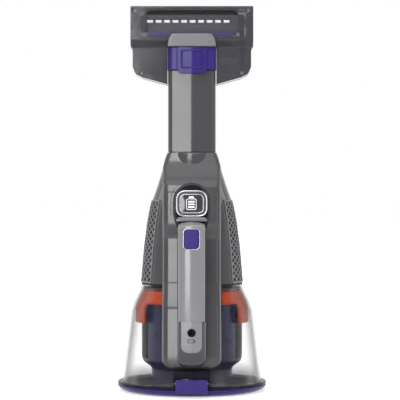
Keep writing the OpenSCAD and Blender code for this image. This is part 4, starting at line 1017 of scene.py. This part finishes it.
outer = filleted([(r, z, 14 if 90 < z < 110 else 6) for r, z in BOWL_LINE], 6, 8, closed=False)
inner = [(r - BOWL_WALL, z) for r, z in reversed(outer)]
foot_r, flange_top = inner[-1][0], BOWL_LINE[0][1]
FLANGE_LOW = 8.3
wall = [(outer[0][0], flange_top + 0.05)] + outer[1:] + inner[:-1] + [(foot_r, flange_top + 0.05)]
piece("bowl_clear", turned(wall, 160), "dust_bowl", "clear_bowl", ["dust_bowl"])
flange = filleted([(foot_r, FLANGE_LOW, 0.3), (FLANGE_R, FLANGE_LOW, 0.6), (FLANGE_R, flange_top, 1.2),
                   (foot_r, flange_top, 0.3)], 1, 5)
printed("bowl_flange", turned(flange, 160), "dust_bowl", "smoke_dark")
hinge_low, hinge_high = span("hinge_pin")
hinge = Vector((0.0, (hinge_low.y + hinge_high.y) / 2, (hinge_low.z + hinge_high.z) / 2))
PIN_R = (hinge_high.z - hinge_low.z) / 2


def knuckle(x0, x1, radius=3.6, edge=0.3):
    profile = [(PIN_R + 0.05, x0), (radius - edge, x0), (radius, x0 + edge), (radius, x1 - edge),
               (radius - edge, x1), (PIN_R + 0.05, x1)]
    return turned(profile, 48, axis="X", centre=hinge)


def lug(x0, x1, z0, z1):
    """The block between a knuckle and the rim that it belongs to."""
    outline = filleted([(x0, z0), (x1, z0), (x1, z1), (x0, z1)], 0.4)
    return prism(outline, FLANGE_R - 0.6, hinge.y - PIN_R - 0.6)


bowl_hinge = merged([knuckle(-12, 12), lug(-12, 12, bowl_low.z, hinge.z + 3.4)])
piece("bowl_knuckle", bowl_hinge, "dust_bowl", "clear_bowl")

# %% [markdown]
# ## The lid
# The lid is the foot that the tool stands on: a shallow purple dish whose edge curves up to the flange.
# It swings on two knuckles at the back, so the knuckles are part of the lid's own piece.

# %% Lid, hinge side included
LID_H, LID_WALL, FLAT_R = 8.0, 2.4, 72.0
edge_line = [(FLAT_R + (FLANGE_R - FLAT_R) * math.sin(a), LID_H * (1 - math.cos(a)))
             for a in (0.5 * math.pi * k / 24 for k in range(24))]
rim = filleted([(FLANGE_R, LID_H - 1.5), (FLANGE_R, LID_H, 0.7), (FLANGE_R - LID_WALL, LID_H, 0.4),
                (FLANGE_R - LID_WALL, LID_H - LID_WALL, 0.3), (FLANGE_R - 8.2, LID_H - LID_WALL, 1.0),
                (FLAT_R + 1, LID_WALL, 2.0), (0, LID_WALL)], 0.5, 4, closed=False)
parts = [turned([(0.0, 0.0)] + edge_line + rim, 160), knuckle(12.3, 24), knuckle(-24, -12.3)]
parts += [lug(12.3, 24, 4.2, 7.6), lug(-24, -12.3, 4.2, 7.6)]
piece("lid_dish", merged(parts), "lid_cover", "purple_plastic", ["lid_cover"])
softened("lid_latch", "purple_plastic", 0.7, 3)
softened("latch_bracket", SLOT["latch_bracket"], 0.6, 2)

# %% [markdown]
# ## The filter
# Inside the bowl stands the filter: an orange ring that twists and lifts out by its two side tabs, a dark
# violet shroud that screens the coarse dust, and pleated paper inside that.

# %% Ring with finger tabs
ring_low, ring_high = span("filter_ring")
RING_R = ring_high.x
SHROUD_LOW, SHROUD_HIGH = span("filter_shroud")
NECK_R, NECK_H, LIP_R, RING_WALL = 54.2, 4.0, 63.4, 2.6
BAYONET = (120, 300)
ring_top = ring_high.z - NECK_H
ring_profile = filleted([(NECK_R, ring_top, 0.3), (57.2, ring_top, 1.0), (62.4, 106.4, 2.0),
                         (LIP_R, 104.4, 0.6), (LIP_R, 102.4, 0.6), (LIP_R - RING_WALL, 102.4, 0.6),
                         (LIP_R - 3.0, 105.0, 1.5)], 1.0, 5)
tab = filleted([(RING_R - RING_WALL, ring_low.z, 1.0), (RING_R, ring_low.z, 1.2), (RING_R, 97.4, 2.0),
                (LIP_R, 104.2, 0.4), (LIP_R - RING_WALL, 103.2, 0.4), (RING_R - RING_WALL, 96.4, 1.5)], 1, 5)
shelf = filleted([(r, ring_high.z + z) for r, z in ((51.0, -3), (55.5, -3), (55.5, 0), (51.0, 0))], 0.5)
parts = [turned(ring_profile, 160)] + [turned(tab, 160, middle - 33, 66) for middle in (0, 180)]
parts.append(turned(shelf, 160, *BAYONET))
piece("ring_twist", merged(parts), "filter_ring", "orange_plastic", ["filter_ring"])
# The dark red-brown band on the ring's top is painted shade: it stands for the orange ring in the shade under
# the housing's edge.
neck = [(NECK_R, ring_top + 0.1), (57.3, ring_top + 0.1), (56.8, ring_high.z - 0.4), (56.4, ring_high.z),
        (NECK_R, ring_high.z)]
printed("neck_painted_shade_band", turned(neck, 160, *BAYONET), "filter_ring", "neck_painted_shade")

# %% Shroud with dark side screens
CUP_R, SCREEN_HALF, LOUVRE, LOUVRE_PITCH = 47.0, 29.0, 1.1, 2.6
DRUM_R, DRUM_TOP, DRUM_LOW = SHROUD_HIGH.x, SHROUD_HIGH.z, SHROUD_LOW.z
shroud = filleted([(0, DRUM_LOW, 0), (CUP_R, DRUM_LOW, 3.0), (CUP_R, DRUM_LOW + 14, 6.0),
                   (DRUM_R, DRUM_LOW + 22, 6.0), (DRUM_R, DRUM_TOP, 0.8), (DRUM_R - 2, DRUM_TOP, 0.8),
                   (DRUM_R - 2, DRUM_LOW + 23, 5.0), (CUP_R - 2, DRUM_LOW + 15, 5.0),
                   (CUP_R - 2, DRUM_LOW + 2, 2.0), (0, DRUM_LOW + 2, 0)], 1, 7)
piece("shroud_violet", turned(shroud, 160), "filter_shroud", "filter_screen", ["filter_shroud"])
band = [(DRUM_R - 0.4, DRUM_LOW + 25), (DRUM_R + 0.45, DRUM_LOW + 25.6), (DRUM_R + 0.45, DRUM_TOP - 3.6),
        (DRUM_R - 0.4, DRUM_TOP - 3)]
louvre_line = ((0.3, 0), (0.95, 0.3), (0.95, 0.7), (0.3, 1))
strips = [turned(band, 160, middle - SCREEN_HALF, 2 * SCREEN_HALF) for middle in (0, 180)]
for middle in (0, 180):
    z = DRUM_LOW + 28
    while z < DRUM_TOP - 6:
        line = [(DRUM_R + out, z + LOUVRE * share) for out, share in louvre_line]
        strips.append(turned(line, 160, middle - SCREEN_HALF + 2, 2 * SCREEN_HALF - 4))
        z += LOUVRE_PITCH
piece("shroud_side_screens", merged(strips), "filter_shroud", "black_plastic")

# %% [markdown]
# ## The brush head
# The head is a smoky clear cover over a grey sole. Its hollow inside matters as much as its skin, because
# the guard, the walls and the little motor show through. The cover and the sole keep the CAD's shapes, with
# the soft edges of a moulding.

# %% Cover, sole and what shows through
for cad_node, finish, width, steps in (
        ("head_cover", "smoke_clear", 1.0, 3), ("head_sole", SLOT["head_sole"], 0.8, 3),
        ("brush_guard", "guard_grey", 0.35, 2), ("left_baffle", "baffle_grey", 0.5, 2),
        ("chamber_wall", SLOT["chamber_wall"], 0.3, 2), ("head_screws", SLOT["head_screws"], 0.15, 1)):
    softened(cad_node, finish, width, steps)
window_low, window_high = span("head_window")
window_mid = (0.0, (window_low.z + window_high.z) / 2)
window_outline = rectangle(window_high.x - window_low.x, window_high.z - window_low.z, window_mid, 7, 12)
piece("window_pane", slab(window_outline, window_low.y, window_high.y, 0.3), "head_window", "window_clear",
      ["head_window"])
trim = frame_ring(window_outline, 0.55, window_low.y - 0.01, window_high.y - 0.6, 0.15)
piece("window_trim", trim, "head_window", "window_clear").data.materials[0] = FINISH["guard_grey"]
strip_z = span("brush_guard")[0].z - 2.2
strip = slab(rectangle(104, 3.6, (0.0, strip_z), 1.4), window_high.y + 2.4, window_high.y + 8, 0.5)
piece("seal_strip", strip, "brush_guard", "brush_purple")
core_low, core_high = span("brush_core")
tuft_low, tuft_high = span("brush_bristles")
axle = Vector((0.0, (core_low.y + core_high.y) / 2, (core_low.z + core_high.z) / 2))
CORE_R, TIP_R = (core_high.z - core_low.z) / 2, (tuft_high.z - tuft_low.z) / 2
# A thin dark arc behind the brush keeps the background from showing through the head.
liner = [(TIP_R + 0.7, -56.0), (TIP_R + 1.2, -56.0), (TIP_R + 1.2, 54.0), (TIP_R + 0.7, 54.0)]
piece("hood_liner", turned(liner, 144, 55, 95, axis="X", centre=axle), "brush_guard", "black_plastic")

# %% Shoulder over the neck
shoulder_low, shoulder_high = span("neck_shoulder")
half, foot_z, top_z = shoulder_high.x, shoulder_low.z, shoulder_high.z
shoulder_outline = filleted([(-half, foot_z, 2.2), (half, foot_z, 2.2), (27, foot_z + 8.6, 5),
                             (23.2, top_z, 4), (-23.2, top_z, 4), (-27, foot_z + 8.6, 5)], 3, 8)
piece("shoulder_cap", slab(shoulder_outline, shoulder_low.y, -24.2, 1.3), "neck_shoulder", "shoulder_grey",
      ["neck_shoulder"])

# %% [markdown]
# ## Collar and release button
# A purple collar closes the head around the nozzle. Pressing the button in it frees the head. The button is
# a plate with a raised square frame and a dished pad, built up from three small plates.

# %% Collar
foot_at, top_at = span("release_collar")
collar_shape, socket_shape = (top_at.x, -foot_at.y, 6.0), (26.2, 23.05, 5.0)
collar = piece("collar", tube(collar_shape, socket_shape, foot_at.z, top_at.z, 0.7), "release_collar",
               "purple_plastic", ["release_collar"])
release_low, release_high = span("release_button")
release_w, release_h = release_high.x - release_low.x, release_high.z - release_low.z
release_mid = (0.0, (release_low.z + release_high.z) / 2)
PLATE_FRONT = release_low.y + 1.2
POCKET_GAP, POCKET_DEPTH, PLATE_DEPTH = 0.7, 4.7, 2.3
pocket = rectangle(release_w + POCKET_GAP, release_h + POCKET_GAP, release_mid, 5.2)
cut(collar, prism(pocket, -45, PLATE_FRONT + POCKET_DEPTH))

# %% Button
plate = creased_block(release_w / 2, release_low.z, release_high.z, 5.0, PLATE_FRONT,
                      PLATE_FRONT + PLATE_DEPTH, 0.8, 3.0)
upper = (0.0, release_mid[1] + 1.2)
square = rectangle(release_w - 9, release_h - 8.5, upper, 3.0, 8)
raised = frame_ring(square, 1.6, release_low.y, PLATE_FRONT + 0.6, 0.75)
pad_half, pad_rise = release_w / 2 - 6.3, release_h / 2 - 6.05
pad = creased_block(pad_half, upper[1] - pad_rise, upper[1] + pad_rise, 1.8, PLATE_FRONT - 0.5,
                    PLATE_FRONT + 1, 0.3, 1.8)
cap = merged([plate, raised, pad])
piece("release_button_cap", cap, "release_button", "purple_plastic", ["release_button"])

# %% [markdown]
# ## Bristles
# The brush carries four rows of tufts. A tuft is a bundle of fine strands that lean a little apart, so each
# one is built as many thin tapered blades from a seeded random number source. The same seed gives the same
# brush on every run.

# %% Tufts of strands
ROWS, TUFTS, PITCH, TUFT_W, TUFT_T = 4, 10, 9.9, 7.0, 3.4
ACROSS, DEEP, BLADE_W, JITTER = 13, 5, 0.46, 0.08
SQUARE = ((0.5, 0.5, 0.5), (-0.5, 0.5, 0.5), (-0.5, -0.5, -0.5), (0.5, -0.5, -0.5))
random.seed(11)


def strand(bm, foot, tip, width):
    """One blade: a thin four-sided prism that tapers."""
    rings = []
    for at, size in ((foot, width), ((foot + tip) / 2, width * 0.95), (tip, width * 0.55)):
        rings.append([bm.verts.new((at + Vector(d) * size) * MM) for d in SQUARE])
    for low, high in zip(rings, rings[1:]):
        for i in range(4):
            bm.faces.new((low[i], low[(i + 1) % 4], high[(i + 1) % 4], high[i]))
    bm.faces.new(rings[-1])


bm = bmesh.new()
for row in range(ROWS):
    turn = Matrix.Rotation(row * 2 * math.pi / ROWS, 3, "X")
    for k in range(TUFTS):
        left = tuft_low.x + k * PITCH
        for i in range(ACROSS):
            for j in range(DEEP):
                x = left + 0.3 + (TUFT_W - 0.6) * i / (ACROSS - 1) + random.uniform(-JITTER, JITTER)
                z = (j / (DEEP - 1) - 0.5) * (TUFT_T - 0.8) + random.uniform(-JITTER, JITTER)
                foot_at = Vector((x, -CORE_R + 0.4, z))
                reach = TIP_R - random.uniform(0.05, 0.7)
                tip_at = Vector((x + random.uniform(-0.3, 0.3), -reach, z * 1.1 + random.uniform(-0.2, 0.2)))
                strand(bm, axle + turn @ foot_at, axle + turn @ tip_at, BLADE_W)
piece("bristle_tufts", bm, "brush_bristles", "white_bristle", ["brush_bristles"], smooth=60, even=False)
softened("brush_core", "brush_purple", 0.5, 2)

# %% [markdown]
# ## Everything else
# The parts that remain have the right shape already: pins, seals, screws, the motor, the cells. They keep
# their CAD solids and take the finish of their slot.

# %% Finishes on the CAD solids
kept = []
for name, obj in NODES.items():
    obj.data.materials.clear()
    obj.data.materials.append(FINISH[SLOT[name]])
    if not obj.hide_render:
        kept.append(name)
print("pieces:", len(PIECES), "CAD solids kept:", len(kept), kept)

# %% [markdown]
# ## Camera, light and floor
# The camera stands two metres away with a long lens, level with the middle of the tool. A tall narrow lamp
# just left of it is what the left side of every creased face reflects. The other lamps fill the right, the
# top and both edges. The floor and the world are white to the camera, and to glossy and transmitted rays, so
# that clear parts show white behind them while the floor keeps the shadow.

# %% Camera
scene = bpy.context.scene
(low_x, _, low_z), (high_x, _, high_z) = CAD_BOUNDS
camera = bpy.data.objects.new("camera", bpy.data.cameras.new("camera"))
scene.collection.objects.link(camera)
LENS_MM, FRAME_MM, EYE = 153.8, 36.0, (0.0094, -2.0, 0.222)
camera.data.lens, camera.data.sensor_width = LENS_MM, FRAME_MM
camera.location = EYE
camera.rotation_euler = (math.radians(90), 0.0, 0.0)
camera.data.clip_end = 50.0
scene.camera = camera
scene.view_settings.view_transform = "Standard"


# %% Lamps
def lamp(name, where, aim, size, power):
    data = bpy.data.lights.new(name, "AREA")
    data.shape, data.size, data.size_y, data.energy = "RECTANGLE", size[0], size[1], power
    obj = in_scene(name, data)
    obj.location = where
    obj.rotation_euler = (Vector(where) - Vector(aim)).to_track_quat("Z", "Y").to_euler()
    obj.visible_camera = False


aim = ((low_x + high_x) / 2, 0.0, (low_z + high_z) / 2)
for name, where, size, power in (
        ("key", (-0.38, -1.95, 0.45), (0.48, 1.6), 21.0), ("key_high", (-0.22, -1.0, 1.5), (0.45, 1.0), 11.0),
        ("fill", (1.6, -1.5, 0.7), (0.7, 1.4), 4.0), ("top", (0.0, -0.3, 1.9), (1.6, 1.2), 9.0),
        ("edge_left", (-1.3, 0.5, 0.4), (0.5, 1.5), 5.0), ("edge_right", (1.3, 0.5, 0.4), (0.5, 1.5), 5.0)):
    lamp(name, where, aim, size, power)

# %% World and floor
WHITE, PALE = (1.0, 1.0, 1.0, 1.0), (0.92, 0.92, 0.92, 1.0)
WORLD_LIGHT = 0.24


def sees_white(tree):
    """1 for the rays that should meet a white background, 0 for the rest."""
    rays = node(tree, "ShaderNodeLightPath").outputs
    seen = math_node(tree, "MAXIMUM", rays["Is Camera Ray"], rays["Is Glossy Ray"])
    return math_node(tree, "MAXIMUM", seen, rays["Is Transmission Ray"])


world = bpy.data.worlds.new("studio")
scene.world = world
world.use_nodes = True
tree = world.node_tree
strength = node(tree, "ShaderNodeMapRange", {"Value": sees_white(tree), "To Min": WORLD_LIGHT, "To Max": 1.0})
background = tree.nodes["Background"]
background.inputs["Color"].default_value = WHITE
tree.links.new(strength.outputs[0], background.inputs["Strength"])

floor_material = bpy.data.materials.new("floor")
floor_material.use_nodes = True
tree = floor_material.node_tree
shader = tree.nodes["Principled BSDF"]
for socket, value in {"Base Color": PALE, "Roughness": 0.8, "Specular IOR Level": 0.1,
                      "Emission Color": WHITE}.items():
    shader.inputs[socket].default_value = value
away = node(tree, "ShaderNodeVectorMath", {0: in_object(tree)}, operation="LENGTH").outputs["Value"]
glow = clamped(tree, away, from_min=0.12, from_max=0.45, to_min=0.62, to_max=1.05)
tree.links.new(math_node(tree, "MULTIPLY", sees_white(tree), glow), shader.inputs["Emission Strength"])
bm = bmesh.new()
bmesh.ops.create_grid(bm, x_segments=8, y_segments=8, size=12.0)
floor = in_scene("floor", mesh_of(bm, "floor"))
floor.location.z = -0.0005
floor.data.materials.append(floor_material)
